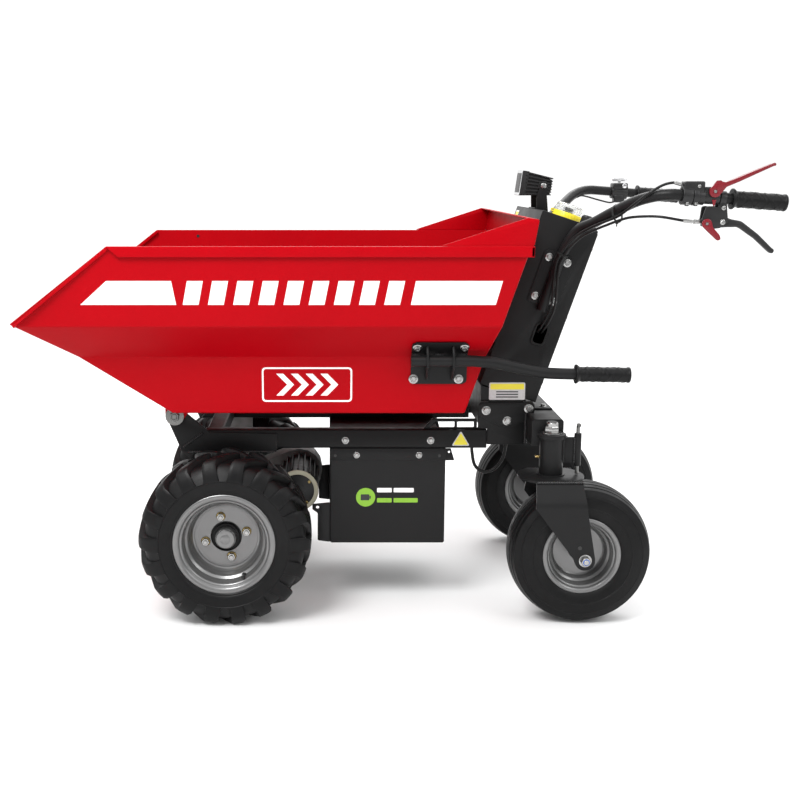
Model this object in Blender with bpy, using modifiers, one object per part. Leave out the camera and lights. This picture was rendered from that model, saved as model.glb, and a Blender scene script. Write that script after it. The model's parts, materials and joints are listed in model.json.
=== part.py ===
"""Battery power wheelbarrow: two driven wheels, two swivel casters and a tipping steel tub.

Metres, +Z up, ground at Z = 0. -X is the tub's dumping lip, +X the handlebars, -Y the machine's left.
"""

import math

import bmesh
import bpy
from mathutils import Matrix, Vector

# Clearances
GAP = 0.0003                 # between pieces that touch
RUNNING = 0.001              # a faceted shaft in its faceted bore
LEFT, RIGHT = -1, 1

# Wheels
DRIVE_X = -0.3855
DRIVE_RADIUS = 0.202
DRIVE_WIDTH = 0.165
DRIVE_SEAT = 0.1015          # bead seat radius
DRIVE_LIP = 0.1175           # rim flange radius
CASTER_SWIVEL_X = 0.3765
CASTER_TRAIL = 0.070
CASTER_RADIUS = 0.168
CASTER_WIDTH = 0.125
CASTER_SEAT = 0.0775
CASTER_LIP = 0.090
WHEEL_Y = 0.300              # every wheel's centre plane
HUB_HOLE = 0.037
LUG_CIRCLE = 0.050           # radius of the wheel-nut circle
LUG_TURN = 14                # degrees from +X to the first nut
AXLE_RADIUS = 0.012

# Chassis
RAIL_OUTER_Y = 0.200
RAIL_WIDTH = 0.035
RAIL_BOTTOM = 0.390
RAIL_TOP = 0.435
RAIL_FRONT = -0.492
RAIL_REAR = 0.2392
EAR_THICK = 0.006
HINGE_X, HINGE_Z = -0.5125, 0.472
HINGE_PIN = 0.0075
BOX_FRONT, BOX_REAR = -0.1405, 0.1405
BOX_HALF_WIDTH = 0.200
BOX_BOTTOM = 0.151
BOX_WALL = 0.0025
CROSS_FRONT, CROSS_REAR = 0.3335, 0.4085
CROSS_BOTTOM, CROSS_TOP = 0.414, 0.477
CROSS_HALF = WHEEL_Y - 0.028  # its ends stop at the swivel barrels
GUSSET_INNER = 0.1905
GUSSET_THICK = 0.006

# Tub: outer faces of the folded sheet, level by level
TUB_SHEET = 0.003
TUB_FLOOR_Z, TUB_KNEE_Z, TUB_FOLD_Z, TUB_RIM_Z = 0.496, 0.630, 0.709, 0.886
TUB_FLOOR_Y, TUB_KNEE_Y, TUB_FOLD_Y, TUB_RIM_Y = 0.300, 0.310, 0.385, 0.393
TUB_FRONT_X, TUB_LIP_X, TUB_MOUTH_X = -0.5055, -0.8435, -0.6315
TUB_REAR_X, TUB_REAR_TOP_X = 0.1725, 0.3005
RIM_THICK, RIM_DEPTH = 0.010, 0.022
TUB_LUG_Y = 0.2085
GUARD_TOP_Z = 0.949

# Column, in its own leaning frame
COLUMN_X, COLUMN_Z = 0.2881, 0.5235
COLUMN_LEAN = math.radians(18.4)
COLUMN_LENGTH = 0.436
COLUMN_DEPTH = 0.1425
COLUMN_HALF = 0.190
COLUMN_SHEET = 0.0025

# Handlebars
BAR_RADIUS = 0.0125
BAR_Y = 0.400
GRIP_START, GRIP_END = 0.7255, 0.8447
GRIP_RADIUS, GRIP_FLANGE = 0.0185, 0.0225
BAR_END_Z = 0.9805
BAR_FLAT_X, BAR_FLAT_Z = 0.6148, 0.9976
BAR_SLOPE = math.atan2(BAR_FLAT_Z - BAR_END_Z, 0.8449 - BAR_FLAT_X)

# Tipping handles
TIP_BAR_Y = 0.340
TIP_BAR_RADIUS = 0.013
TIP_PLATE_X = (0.0450, 0.1735)
TIP_PLATE_Z = (0.5673, 0.6694)

FINISHES = {
    "tub_red": ((0.55, 0.012, 0.016), 0.38, 0.1),
    "frame_black": ((0.022, 0.022, 0.023), 0.45, 0.2),
    "cover_black": ((0.030, 0.030, 0.032), 0.40, 0.2),
    "rim_silver": ((0.60, 0.60, 0.59), 0.35, 0.8),
    "tyre_black": ((0.018, 0.018, 0.018), 0.75, 0.0),
    "grip_black": ((0.022, 0.022, 0.023), 0.70, 0.0),
    "zinc": ((0.55, 0.55, 0.53), 0.35, 0.9),
    "lever_red": ((0.45, 0.012, 0.014), 0.35, 0.0),
    "control_black": ((0.025, 0.025, 0.026), 0.45, 0.0),
    "cast_grey": ((0.32, 0.32, 0.31), 0.50, 0.7),
    "ring_yellow": ((0.75, 0.55, 0.03), 0.40, 0.0),
    "cover_clear": ((0.75, 0.78, 0.80), 0.10, 0.0),
    "cable_black": ((0.020, 0.020, 0.020), 0.55, 0.0),
    "battery_grey": ((0.10, 0.10, 0.11), 0.60, 0.0),
}


# ---------------------------------------------------------------- tools

def clear_scene():
    for obj in list(bpy.data.objects):
        bpy.data.objects.remove(obj, do_unlink=True)


def new_collection(name):
    made = bpy.data.collections.new(name)
    bpy.context.scene.collection.children.link(made)
    return made


def finish(name):
    """The shared material of one finish."""
    made = bpy.data.materials.get(name)
    if made is None:
        colour, roughness, metallic = FINISHES[name]
        made = bpy.data.materials.new(name)
        made.use_nodes = True
        shader = made.node_tree.nodes["Principled BSDF"]
        shader.inputs["Base Color"].default_value = (*colour, 1)
        shader.inputs["Roughness"].default_value = roughness
        shader.inputs["Metallic"].default_value = metallic
        made.diffuse_color = (*colour, 1)
    return made


def add_object(name, data, look):
    obj = bpy.data.objects.new(name, data)
    obj.data.materials.append(finish(look))
    PARTS.objects.link(obj)
    return obj


def from_bmesh(name, bm, look):
    mesh = bpy.data.meshes.new(name)
    bm.to_mesh(mesh)
    bm.free()
    return add_object(name, mesh, look)


def as_mesh(obj):
    """The curve object turned into a closed mesh object of the same name and place."""
    bpy.context.view_layer.update()
    graph = bpy.context.evaluated_depsgraph_get()
    mesh = bpy.data.meshes.new_from_object(obj.evaluated_get(graph))
    name, place, look = obj.name, obj.matrix_world.copy(), obj.data.materials[0].name
    bpy.data.objects.remove(obj, do_unlink=True)
    bm = bmesh.new()
    bm.from_mesh(mesh)
    bmesh.ops.remove_doubles(bm, verts=bm.verts, dist=1e-5)
    bmesh.ops.recalc_face_normals(bm, faces=bm.faces)
    bm.to_mesh(mesh)
    bm.free()
    mesh.materials.clear()
    made = add_object(name, mesh, look)
    made.matrix_world = place
    return made


def smooth(obj, angle=32):
    """Shades a round piece smooth between edges sharper than the angle."""
    obj.data.shade_smooth()
    obj.data.set_sharp_from_angle(angle=math.radians(angle))
    return obj


def block(name, low, high, look, bevel=0.0):
    """A box between two opposite corners, with its origin at its centre."""
    size = Vector(high) - Vector(low)
    bm = bmesh.new()
    bmesh.ops.create_cube(bm, size=1, matrix=Matrix.Diagonal((*size, 1)))
    obj = from_bmesh(name, bm, look)
    obj.location = (Vector(low) + Vector(high)) / 2
    if bevel:
        rounding = obj.modifiers.new("Rounded edges", "BEVEL")
        rounding.width = bevel
        rounding.segments = 1
    return obj


def span_y(side, inner, outer):
    """Lowest and highest Y of something from inner to outer on one side of the machine."""
    return tuple(sorted((side * inner, side * outer)))


def side_block(name, side, x, y, z, look, bevel=0.0):
    """A box given by its X, its distance from the middle plane, and its Z."""
    low_y, high_y = span_y(side, *y)
    return block(name, (x[0], low_y, z[0]), (x[1], high_y, z[1]), look, bevel)


def peg(name, start, end, radius, look, sides=16, end_radius=None):
    """A solid round bar, cone or hex between two points."""
    start, end = Vector(start), Vector(end)
    run = end - start
    bm = bmesh.new()
    bmesh.ops.create_cone(
        bm, cap_ends=True, segments=sides, radius1=radius,
        radius2=radius if end_radius is None else end_radius, depth=run.length,
    )
    obj = from_bmesh(name, bm, look)
    obj.location = (start + end) / 2
    obj.rotation_euler = run.to_track_quat("Z", "Y").to_euler()
    return smooth(obj)


def turned(name, profile, look, steps=24, place=(0, 0, 0), turn=(0, 0, 0)):
    """A closed (radius, height) outline turned about local Z; it may end on the axis."""
    on_axis = abs(profile[0][0]) < 1e-6
    mesh = bpy.data.meshes.new(name)
    count = len(profile)
    edges = [(i, i + 1) for i in range(count - 1)]
    if not on_axis:
        edges.append((count - 1, 0))
    mesh.from_pydata([(r, 0, z) for r, z in profile], edges, [])
    obj = add_object(name, mesh, look)
    screw = obj.modifiers.new("Turned", "SCREW")
    screw.steps = screw.render_steps = steps
    screw.use_merge_vertices = True
    screw.merge_threshold = 0.0001
    screw.use_smooth_shade = True
    obj.location = place
    obj.rotation_euler = turn
    return obj


def facing_out(side):
    """Rotation that points local Z away from the middle plane."""
    return (math.radians(90) * -side, 0, 0)


def plate(name, outline, y_low, y_high, look, holes=()):
    """A flat (X, Z) outline with round holes (x, z, radius), thick along Y."""
    curve = bpy.data.curves.new(name, "CURVE")
    curve.dimensions = "2D"
    curve.fill_mode = "BOTH"
    curve.extrude = (y_high - y_low) / 2
    loops = [outline] + [circle(*hole) for hole in holes]
    for loop in loops:
        spline = curve.splines.new("POLY")
        spline.points.add(len(loop) - 1)
        for point, (x, z) in zip(spline.points, loop):
            point.co = (x, z, 0, 1)
        spline.use_cyclic_u = True
    obj = add_object(name, curve, look)
    obj.location = (0, (y_low + y_high) / 2, 0)
    obj.rotation_euler = (math.radians(90), 0, 0)
    return as_mesh(obj)


def side_plate(name, side, outline, inner, outer, look, holes=()):
    return plate(name, outline, *span_y(side, inner, outer), look, holes)


def circle(x, z, radius, sides=14):
    return arc(x, z, radius, 0, 360 - 360 / sides, sides)


def arc(x, z, radius, start, end, count=7):
    """Points on an arc in degrees, anticlockwise from +X towards +Z."""
    steps = [math.radians(start + (end - start) * i / (count - 1)) for i in range(count)]
    return [(x + radius * math.cos(a), z + radius * math.sin(a)) for a in steps]


def sheet(name, points, faces, thickness, look, offset=-1):
    """A folded sheet: an open surface given its thickness."""
    mesh = bpy.data.meshes.new(name)
    mesh.from_pydata(points, [], faces)
    obj = add_object(name, mesh, look)
    skin = obj.modifiers.new("Sheet", "SOLIDIFY")
    skin.thickness = thickness
    skin.offset = offset
    skin.use_even_offset = True
    return obj


def smooth_route(points, per_span=6):
    """Points along a Catmull-Rom curve through the route."""
    route = [Vector(p) for p in points]
    padded = [2 * route[0] - route[1]] + route + [2 * route[-1] - route[-2]]
    made = []
    for i in range(1, len(padded) - 2):
        a, b, c, d = padded[i - 1:i + 3]
        for step in range(per_span):
            t = step / per_span
            made.append(0.5 * (
                2 * b + (c - a) * t + (2 * a - 5 * b + 4 * c - d) * t * t
                + (3 * b - a - 3 * c + d) * t ** 3
            ))
    return made + [route[-1]]


def tube(name, points, radius, look, resolution=2, per_span=4):
    curve = bpy.data.curves.new(name, "CURVE")
    curve.dimensions = "3D"
    curve.bevel_depth = radius
    curve.bevel_resolution = resolution
    curve.use_fill_caps = True
    route = smooth_route(points, per_span) if per_span else [Vector(p) for p in points]
    spline = curve.splines.new("POLY")
    spline.points.add(len(route) - 1)
    for point, place in zip(spline.points, route):
        point.co = (*place, 1)
    return add_object(name, curve, look)


def helper(obj):
    """Takes a cutter or a joined piece out of the model."""
    PARTS.objects.unlink(obj)
    HELPERS.objects.link(obj)
    obj.hide_render = True
    obj.display_type = "WIRE"


def combine(target, others, operation):
    for other in others:
        helper(other)
        step = target.modifiers.new(operation.title(), "BOOLEAN")
        step.operation = operation
        step.solver = "EXACT"
        step.object = other
    return target


def fuse(target, *others):
    return combine(target, others, "UNION")


def cut(target, *others):
    return combine(target, others, "DIFFERENCE")


def pivot(name, place, turn=(0, 0, 0)):
    empty = bpy.data.objects.new(name, None)
    empty.empty_display_size = 0.05
    empty.location = place
    empty.rotation_euler = turn
    PARTS.objects.link(empty)
    return empty


def hang(axis, *objs):
    """Parents pieces to the empty on their joint's axis and leaves them where they are."""
    for obj in objs:
        obj.parent = axis
        obj.matrix_parent_inverse = Matrix.Translation(-Vector(axis.location))


def side_name(side):
    return "left" if side == LEFT else "right"


# ---------------------------------------------------------------- wheels

def tyre_profile(radius, half, seat, lip, rim_half, wall=0.010):
    """A pneumatic tyre's section, open towards the rim, from the left bead round the tread."""
    bead = rim_half - 0.009
    middle = lip + 0.45 * (radius - lip)
    outer = [
        (seat + 0.0005, bead), (lip + 0.0010, bead), (lip + 0.005, rim_half + 0.001), (middle, half),
        (radius - 0.015, half * 0.93), (radius, half * 0.58),
    ]
    inner = [(seat + 0.0005, bead - wall), (middle, half - wall), (radius - wall, half * 0.50)]
    loop = outer + [(r, -z) for r, z in reversed(outer)] + [(r, -z) for r, z in inner]
    return loop + list(reversed(inner))


def rim_profile(seat, lip, rim_half, hub, hub_half, web):
    """A pressed rim's section: flanges, bead seats, well and centre disc or hub."""
    well, sheet_in = seat - 0.0135, 0.003
    low, high = web
    outer = [(lip, rim_half), (lip, rim_half - 0.005), (seat, rim_half - 0.008), (well, rim_half - 0.036)]
    inner_top = [(well - sheet_in, high), (well - sheet_in, rim_half - 0.037), (seat - sheet_in, rim_half - 0.003)]
    inner_low = [(r, -z) for r, z in reversed(inner_top[1:])] + [(well - sheet_in, low)]
    hub_side = [(hub, low), (hub, high)]
    if hub_half:
        hub_side = [
            (hub + 0.012, low), (hub + 0.012, -hub_half), (hub, -hub_half),
            (hub, hub_half), (hub + 0.012, hub_half), (hub + 0.012, high),
        ]
    return outer + [(r, -z) for r, z in reversed(outer)] + inner_low + hub_side + inner_top


def drive_wheel(side):
    name = side_name(side)
    centre = (DRIVE_X, side * WHEEL_Y, DRIVE_RADIUS)
    rim_half = 0.0735
    disc = (0.001, 0.005)
    turn = facing_out(side)
    tyre = turned(
        f"drive_tyre_{name}",
        tyre_profile(DRIVE_RADIUS, DRIVE_WIDTH / 2, DRIVE_SEAT, DRIVE_LIP, rim_half),
        "tyre_black", 24, centre, turn,
    )
    rim = turned(
        f"drive_rim_{name}", rim_profile(DRIVE_SEAT, DRIVE_LIP, rim_half, HUB_HOLE, 0, disc),
        "rim_silver", 20, centre, turn,
    )
    lugs = [math.radians(LUG_TURN + 90 * i) for i in range(4)]
    places = [(DRIVE_X + LUG_CIRCLE * math.cos(a), DRIVE_RADIUS + LUG_CIRCLE * math.sin(a)) for a in lugs]
    cut(rim, *[
        peg(f"lug_hole_{name}_{i}", (x, side * (WHEEL_Y - 0.02), z), (x, side * (WHEEL_Y + 0.02), z),
            0.0070, "rim_silver", 10)
        for i, (x, z) in enumerate(places)
    ])
    disc_in, disc_out = WHEEL_Y + disc[0], WHEEL_Y + disc[1]

    def along(start, end, radius, x=DRIVE_X, z=DRIVE_RADIUS, sides=16, end_radius=None):
        return peg("axle_piece", (x, side * start, z), (x, side * end, z), radius, "zinc", sides, end_radius)

    axle = along(WHEEL_Y - 0.150, disc_in + 0.004, AXLE_RADIUS, sides=12)
    axle.name = f"axle_{name}"
    pieces = [
        along(disc_in - 0.012, disc_in - GAP, 0.060),
        along(disc_in - 0.012, disc_out + 0.026, 0.026),
        along(disc_out + 0.0258, disc_out + 0.031, 0.026, end_radius=0.018),
    ]
    for x, z in places:
        pieces.append(along(disc_in - 0.004, disc_out + 0.006, 0.0055, x, z, 8))
        pieces.append(along(disc_out + GAP, disc_out + 0.003, 0.0110, x, z, 12))
        pieces.append(along(disc_out + 0.0028, disc_out + 0.014, 0.0095, x, z, 6))
    fuse(axle, *pieces)
    hang(pivot(f"drive_axis_{name}", centre), tyre, rim, axle)


def caster(side, cross):
    """Swivel fork, wheel and lock pin; its barrel and pin sleeve are welded to the crossmember."""
    name = side_name(side)
    swivel = (CASTER_SWIVEL_X, side * WHEEL_Y, 0)
    wheel_x = CASTER_SWIVEL_X + CASTER_TRAIL
    centre = (wheel_x, side * WHEEL_Y, CASTER_RADIUS)
    turn = facing_out(side)
    rim_half, hub_half, bolt = 0.053, 0.050, 0.006
    tyre = turned(
        f"caster_tyre_{name}",
        tyre_profile(CASTER_RADIUS, CASTER_WIDTH / 2, CASTER_SEAT, CASTER_LIP, rim_half, 0.009),
        "tyre_black", 24, centre, turn,
    )
    rim = turned(
        f"caster_rim_{name}",
        rim_profile(CASTER_SEAT, CASTER_LIP, rim_half, bolt + RUNNING, hub_half, (-0.002, 0.002)),
        "rim_silver", 18, centre, turn,
    )
    barrel_bottom, barrel_top, plate_top = 0.354, 0.449, 0.352
    stem = 0.011
    barrel = turned(
        "barrel_piece",
        [(0.0275, barrel_top - 0.008), (0.0275, barrel_bottom), (stem + RUNNING, barrel_bottom),
         (stem + RUNNING, barrel_top), (0.033, barrel_top), (0.033, barrel_top - 0.008)],
        "frame_black", 20, swivel,
    )
    lock_x, sleeve, pin = CASTER_SWIVEL_X + 0.061, 0.0085, 0.0045
    sleeve_body = turned(
        "sleeve_piece",
        [(sleeve, barrel_top), (sleeve, 0.372), (pin + RUNNING, 0.372), (pin + RUNNING, barrel_top)],
        "frame_black", 12, (lock_x, side * WHEEL_Y, 0),
    )
    web_x = (CASTER_SWIVEL_X + 0.026, lock_x - sleeve + 0.0015)
    web = side_block("web_piece", side, web_x, (WHEEL_Y - 0.004, WHEEL_Y + 0.004), (0.378, 0.440), "frame_black")
    end_cap = side_block("end_piece", side, (CROSS_FRONT, CROSS_REAR), (CROSS_HALF - 0.004, CROSS_HALF + 0.004),
                         (CROSS_BOTTOM, CROSS_TOP), "frame_black")
    fuse(cross, end_cap, barrel, sleeve_body, web)

    handle_z = 0.468
    lock = tube(
        f"swivel_lock_pin_{name}",
        [(lock_x, side * WHEEL_Y, plate_top + 0.0005), (lock_x, side * WHEEL_Y, handle_z - 0.008),
         (lock_x, side * WHEEL_Y, handle_z), (lock_x, side * (WHEEL_Y + 0.007), handle_z + 0.003),
         (lock_x - 0.004, side * (WHEEL_Y + 0.030), handle_z + 0.006)],
        pin, "zinc", 1, 0,
    )

    fork = turned(
        f"caster_fork_{name}",
        [(0, 0.484), (0.004, 0.484), (0.004, 0.476), (stem, 0.476), (stem, plate_top - 0.001),
         (0.077, plate_top - 0.001), (0.077, plate_top - 0.008), (0, plate_top - 0.008)],
        "frame_black", 24, swivel,
    )
    plate_half = 0.0625
    for leg_side in (-1, 1):
        edge = side * WHEEL_Y + leg_side * plate_half
        span = sorted((edge, edge + leg_side * 0.03))
        cut(fork, block("disc_trim", (CASTER_SWIVEL_X - 0.09, span[0], plate_top - 0.012),
                        (CASTER_SWIVEL_X + 0.09, span[1], plate_top + 0.004), "frame_black"))
    nut = peg("stem_nut", (CASTER_SWIVEL_X, side * WHEEL_Y, barrel_top + 0.0008),
              (CASTER_SWIVEL_X, side * WHEEL_Y, 0.4775), 0.0170, "zinc", 6)
    legs = []
    leg_out, leg_thick, fold_z = 0.085, 0.006, 0.298
    leg_front, leg_rear = CASTER_SWIVEL_X - 0.0455, CASTER_SWIVEL_X + 0.0711
    for leg_side in (-1, 1):
        middle = side * WHEEL_Y
        out = middle + leg_side * leg_out
        top = middle + leg_side * 0.058
        tip = arc(wheel_x, CASTER_RADIUS, 0.024, -170, -10, 6)
        lower = [(leg_front, fold_z)] + tip + [(leg_rear, fold_z)]
        points = [(leg_front + 0.003, top, plate_top - 0.003), (leg_rear - 0.0076, top, plate_top - 0.003)]
        points += [(x, out, z) for x, z in lower]
        faces = [[1, 0, 2, len(points) - 1], list(range(2, len(points)))]
        leg = sheet("leg_piece", points, faces, leg_thick, "frame_black", offset=0)
        cut(leg, peg("axle_hole", (wheel_x, out - 0.02, CASTER_RADIUS), (wheel_x, out + 0.02, CASTER_RADIUS),
                     bolt + RUNNING, "frame_black", 12))
        legs.append(leg)
    fuse(fork, nut, *legs)

    def along(start, end, radius, sides):
        return peg("bolt_piece", (wheel_x, side * start, CASTER_RADIUS), (wheel_x, side * end, CASTER_RADIUS),
                   radius, "zinc", sides)

    reach = leg_out + leg_thick / 2 + GAP
    axle = along(WHEEL_Y - reach - 0.009, WHEEL_Y + reach + 0.016, bolt, 12)
    axle.name = f"caster_axle_{name}"
    fuse(
        axle,
        along(WHEEL_Y - reach - 0.008, WHEEL_Y - reach, 0.0115, 6),
        along(WHEEL_Y + reach, WHEEL_Y + reach + 0.002, 0.0145, 16),
        along(WHEEL_Y + reach + 0.0019, WHEEL_Y + reach + 0.013, 0.0115, 6),
    )
    spacer = leg_out - leg_thick / 2 - GAP
    for start, end in ((-spacer, -hub_half - GAP), (hub_half + GAP, spacer)):
        fuse(axle, along(WHEEL_Y + start, WHEEL_Y + end, 0.011, 12))
    hang(pivot(f"swivel_axis_{name}", swivel), fork, axle)
    hang(pivot(f"caster_axis_{name}", centre), tyre, rim)
    hang(pivot(f"lock_axis_{name}", (lock_x, side * WHEEL_Y, plate_top)), lock)


# ---------------------------------------------------------------- chassis

def frame_rail(side):
    """Rail with its front hinge ear and the ledge that the tub comes down over."""
    name = side_name(side)
    inner = RAIL_OUTER_Y - RAIL_WIDTH
    slope = 0.051
    outline = [
        (RAIL_FRONT, RAIL_BOTTOM), (RAIL_REAR, RAIL_BOTTOM), (RAIL_REAR, RAIL_TOP), (RAIL_FRONT + slope, RAIL_TOP),
    ]
    rail = side_plate(f"frame_rail_{name}", side, outline, inner, RAIL_OUTER_Y, "frame_black")
    ear_outline = (
        arc(HINGE_X, HINGE_Z, 0.022, 40, 190, 7)
        + [(RAIL_FRONT - 0.006, RAIL_BOTTOM - 0.008), (-0.270, RAIL_BOTTOM - 0.008), (-0.270, RAIL_TOP - 0.008),
           (-0.430, RAIL_TOP - 0.004)]
    )
    ear = side_plate(
        "ear_piece", side, ear_outline, RAIL_OUTER_Y - 0.001, RAIL_OUTER_Y + EAR_THICK, "frame_black",
        [(HINGE_X, HINGE_Z, HINGE_PIN + RUNNING / 2)],
    )
    ledge_bottom, ledge_top = RAIL_TOP - 0.002, 0.460
    ledge_x = (0.0845, 0.2160)
    ledge = side_block("ledge_piece", side, ledge_x, (0.180, 0.188), (ledge_bottom, ledge_top), "frame_black")
    middle = sum(ledge_x) / 2
    windows = [
        side_block("window", side, span, (0.170, 0.198), (RAIL_TOP + 0.003, ledge_top - 0.006), "frame_black")
        for span in ((ledge_x[0] + 0.008, middle - 0.004), (middle + 0.004, ledge_x[1] - 0.008))
    ]
    cut(ledge, *windows)
    fuse(rail, ear, ledge)


def hinge_pin(side):
    name = side_name(side)
    lug_outer = TUB_LUG_Y + EAR_THICK

    def along(start, end, radius, sides):
        return peg("pin_piece", (HINGE_X, side * start, HINGE_Z), (HINGE_X, side * end, HINGE_Z), radius, "zinc", sides)

    pin = along(RAIL_OUTER_Y - 0.010, lug_outer + 0.004, HINGE_PIN - 0.0005, 14)
    pin.name = f"hinge_pin_{name}"
    ear_inner = RAIL_OUTER_Y - 0.001
    fuse(
        pin,
        along(ear_inner - 0.009, ear_inner - GAP, 0.012, 6),
        along(lug_outer + GAP, lug_outer + 0.003, 0.020, 18),
        along(lug_outer + 0.0029, lug_outer + 0.011, 0.0125, 6),
    )


def gusset(side):
    """Bolted side plate that ties rail, column foot and caster crossmember together."""
    name = side_name(side)
    outline = [
        (0.2175, RAIL_TOP + 0.002), (RAIL_REAR + GAP, RAIL_TOP + 0.002), (RAIL_REAR + GAP, 0.398),
        (CROSS_FRONT - GAP, 0.398), (CROSS_FRONT - GAP, CROSS_TOP + 0.001), (0.3535, CROSS_TOP + 0.001),
        (0.3535, 0.502), (0.2175, 0.502),
    ]
    outer = GUSSET_INNER + GUSSET_THICK
    body = side_plate(f"gusset_plate_{name}", side, outline, GUSSET_INNER, outer, "frame_black")
    bolts = [
        peg("gusset_bolt", (x, side * (outer - 0.001), z), (x, side * (outer + 0.007), z), 0.0085, "zinc", 6)
        for x, z in ((0.2363, 0.4825), (0.3385, 0.4870), (0.2875, 0.4570))
    ]
    fuse(body, *bolts)


def caster_crossmember():
    wall = 0.005
    outline = [
        (CROSS_FRONT, CROSS_BOTTOM), (CROSS_FRONT + wall, CROSS_BOTTOM), (CROSS_FRONT + wall, CROSS_TOP - wall),
        (CROSS_REAR - wall, CROSS_TOP - wall), (CROSS_REAR - wall, CROSS_BOTTOM), (CROSS_REAR, CROSS_BOTTOM),
        (CROSS_REAR, CROSS_TOP), (CROSS_FRONT, CROSS_TOP),
    ]
    return plate("caster_crossmember", outline, -CROSS_HALF, CROSS_HALF, "frame_black")


def front_crossmember_and_foot():
    inner = RAIL_OUTER_Y - RAIL_WIDTH - GAP
    block("front_crossmember", (-0.440, -inner, RAIL_BOTTOM + 0.002), (-0.400, inner, RAIL_TOP - 0.002),
          "frame_black", 0.003)
    gap_y = GUSSET_INNER - 0.001
    foot = plate(
        "column_foot",
        [(0.2235, 0.441), (0.3325, 0.441), (0.3325, 0.5065), (0.2235, 0.5425)],
        -gap_y, gap_y, "frame_black",
    )
    cut(foot, plate("foot_hollow", [(0.2285, 0.436), (0.3275, 0.436), (0.3275, 0.5030), (0.2285, 0.5355)],
                    -gap_y + 0.004, gap_y - 0.004, "frame_black"))


def battery_box():
    low = (BOX_FRONT, -BOX_HALF_WIDTH, BOX_BOTTOM)
    high = (BOX_REAR, BOX_HALF_WIDTH, RAIL_BOTTOM - GAP)
    box = block("battery_box", low, high, "frame_black")
    inside = block(
        "box_inside",
        (BOX_FRONT + BOX_WALL, -BOX_HALF_WIDTH + BOX_WALL, BOX_BOTTOM + BOX_WALL),
        (BOX_REAR - BOX_WALL, BOX_HALF_WIDTH - BOX_WALL, RAIL_BOTTOM + 0.02), "frame_black",
    )
    cut(box, inside)
    brackets = [
        side_block("box_bracket", side, (BOX_FRONT - 0.043, BOX_FRONT + 0.001), (0.190, 0.196),
                   (BOX_BOTTOM + 0.001, 0.2525), "frame_black")
        for side in (LEFT, RIGHT)
    ]
    fuse(box, *brackets)
    lid_half = RAIL_OUTER_Y - RAIL_WIDTH - 0.002
    block("battery_box_lid", (BOX_FRONT, -lid_half, RAIL_BOTTOM), (BOX_REAR, lid_half, RAIL_BOTTOM + 0.004),
          "frame_black")
    for side in (LEFT, RIGHT):
        side_block(
            f"battery_{side_name(side)}", side, (BOX_FRONT + 0.008, BOX_REAR - 0.008), (0.006, 0.186),
            (BOX_BOTTOM + BOX_WALL + GAP, 0.372), "battery_grey", 0.003,
        )


def transaxle():
    motor_x, motor_z, motor_radius = -0.2205, 0.270, 0.0525
    outline = (
        arc(DRIVE_X, DRIVE_RADIUS, 0.058, 115, 295, 9)
        + arc(motor_x, motor_z, 0.060, -66, 113, 9)
    )
    case = plate("transaxle", outline, 0.0503, 0.120, "cast_grey")
    bore = AXLE_RADIUS + RUNNING
    tube_half = WHEEL_Y - 0.100
    hangers = [
        side_block("axle_hanger", side, (DRIVE_X - 0.0345, DRIVE_X + 0.0345), (0.172, 0.182),
                   (0.190, RAIL_BOTTOM - GAP), "cast_grey")
        for side in (LEFT, RIGHT)
    ]
    fuse(case, peg("axle_tube", (DRIVE_X, -tube_half, DRIVE_RADIUS), (DRIVE_X, tube_half, DRIVE_RADIUS),
                   0.028, "cast_grey"), *hangers)
    cut(case, *[
        peg("axle_bore", (DRIVE_X, side * (tube_half - 0.060), DRIVE_RADIUS),
            (DRIVE_X, side * (tube_half + 0.010), DRIVE_RADIUS), bore, "cast_grey", 12)
        for side in (LEFT, RIGHT)
    ])
    fins = [(0, 0.200), (motor_radius - 0.008, 0.200), (motor_radius - 0.008, 0.186)]
    fin_count, fin_pitch = 3, 0.050
    for index in range(fin_count):
        top = 0.186 - index * fin_pitch
        fins += [(motor_radius, top), (motor_radius, top - 0.030),
                 (motor_radius - 0.005, top - 0.030), (motor_radius - 0.005, top - fin_pitch)]
    fins += [(motor_radius - 0.005, 0.0), (0, 0.0)]
    turned("drive_motor", fins, "cover_black", 16, (motor_x, 0.050, motor_z), (math.radians(90), 0, 0))


# ---------------------------------------------------------------- tub

def tub_rear_x(z):
    """X of the rear wall's outer face at height z."""
    share = (z - TUB_FLOOR_Z) / (TUB_RIM_Z - TUB_FLOOR_Z)
    return TUB_REAR_X + share * (TUB_REAR_TOP_X - TUB_REAR_X)


def tub_front_x(z):
    """X of the sloping front panel's outer face at height z."""
    share = (z - TUB_FLOOR_Z) / (TUB_FOLD_Z - TUB_FLOOR_Z)
    return TUB_FRONT_X + share * (TUB_LIP_X - TUB_FRONT_X)


def tub_levels():
    """(z, half width, front X) of each fold line."""
    return [
        (TUB_FLOOR_Z, TUB_FLOOR_Y, TUB_FRONT_X),
        (TUB_KNEE_Z, TUB_KNEE_Y, tub_front_x(TUB_KNEE_Z)),
        (TUB_FOLD_Z, TUB_FOLD_Y, TUB_LIP_X),
        (TUB_RIM_Z, TUB_RIM_Y, TUB_MOUTH_X),
    ]


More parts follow.
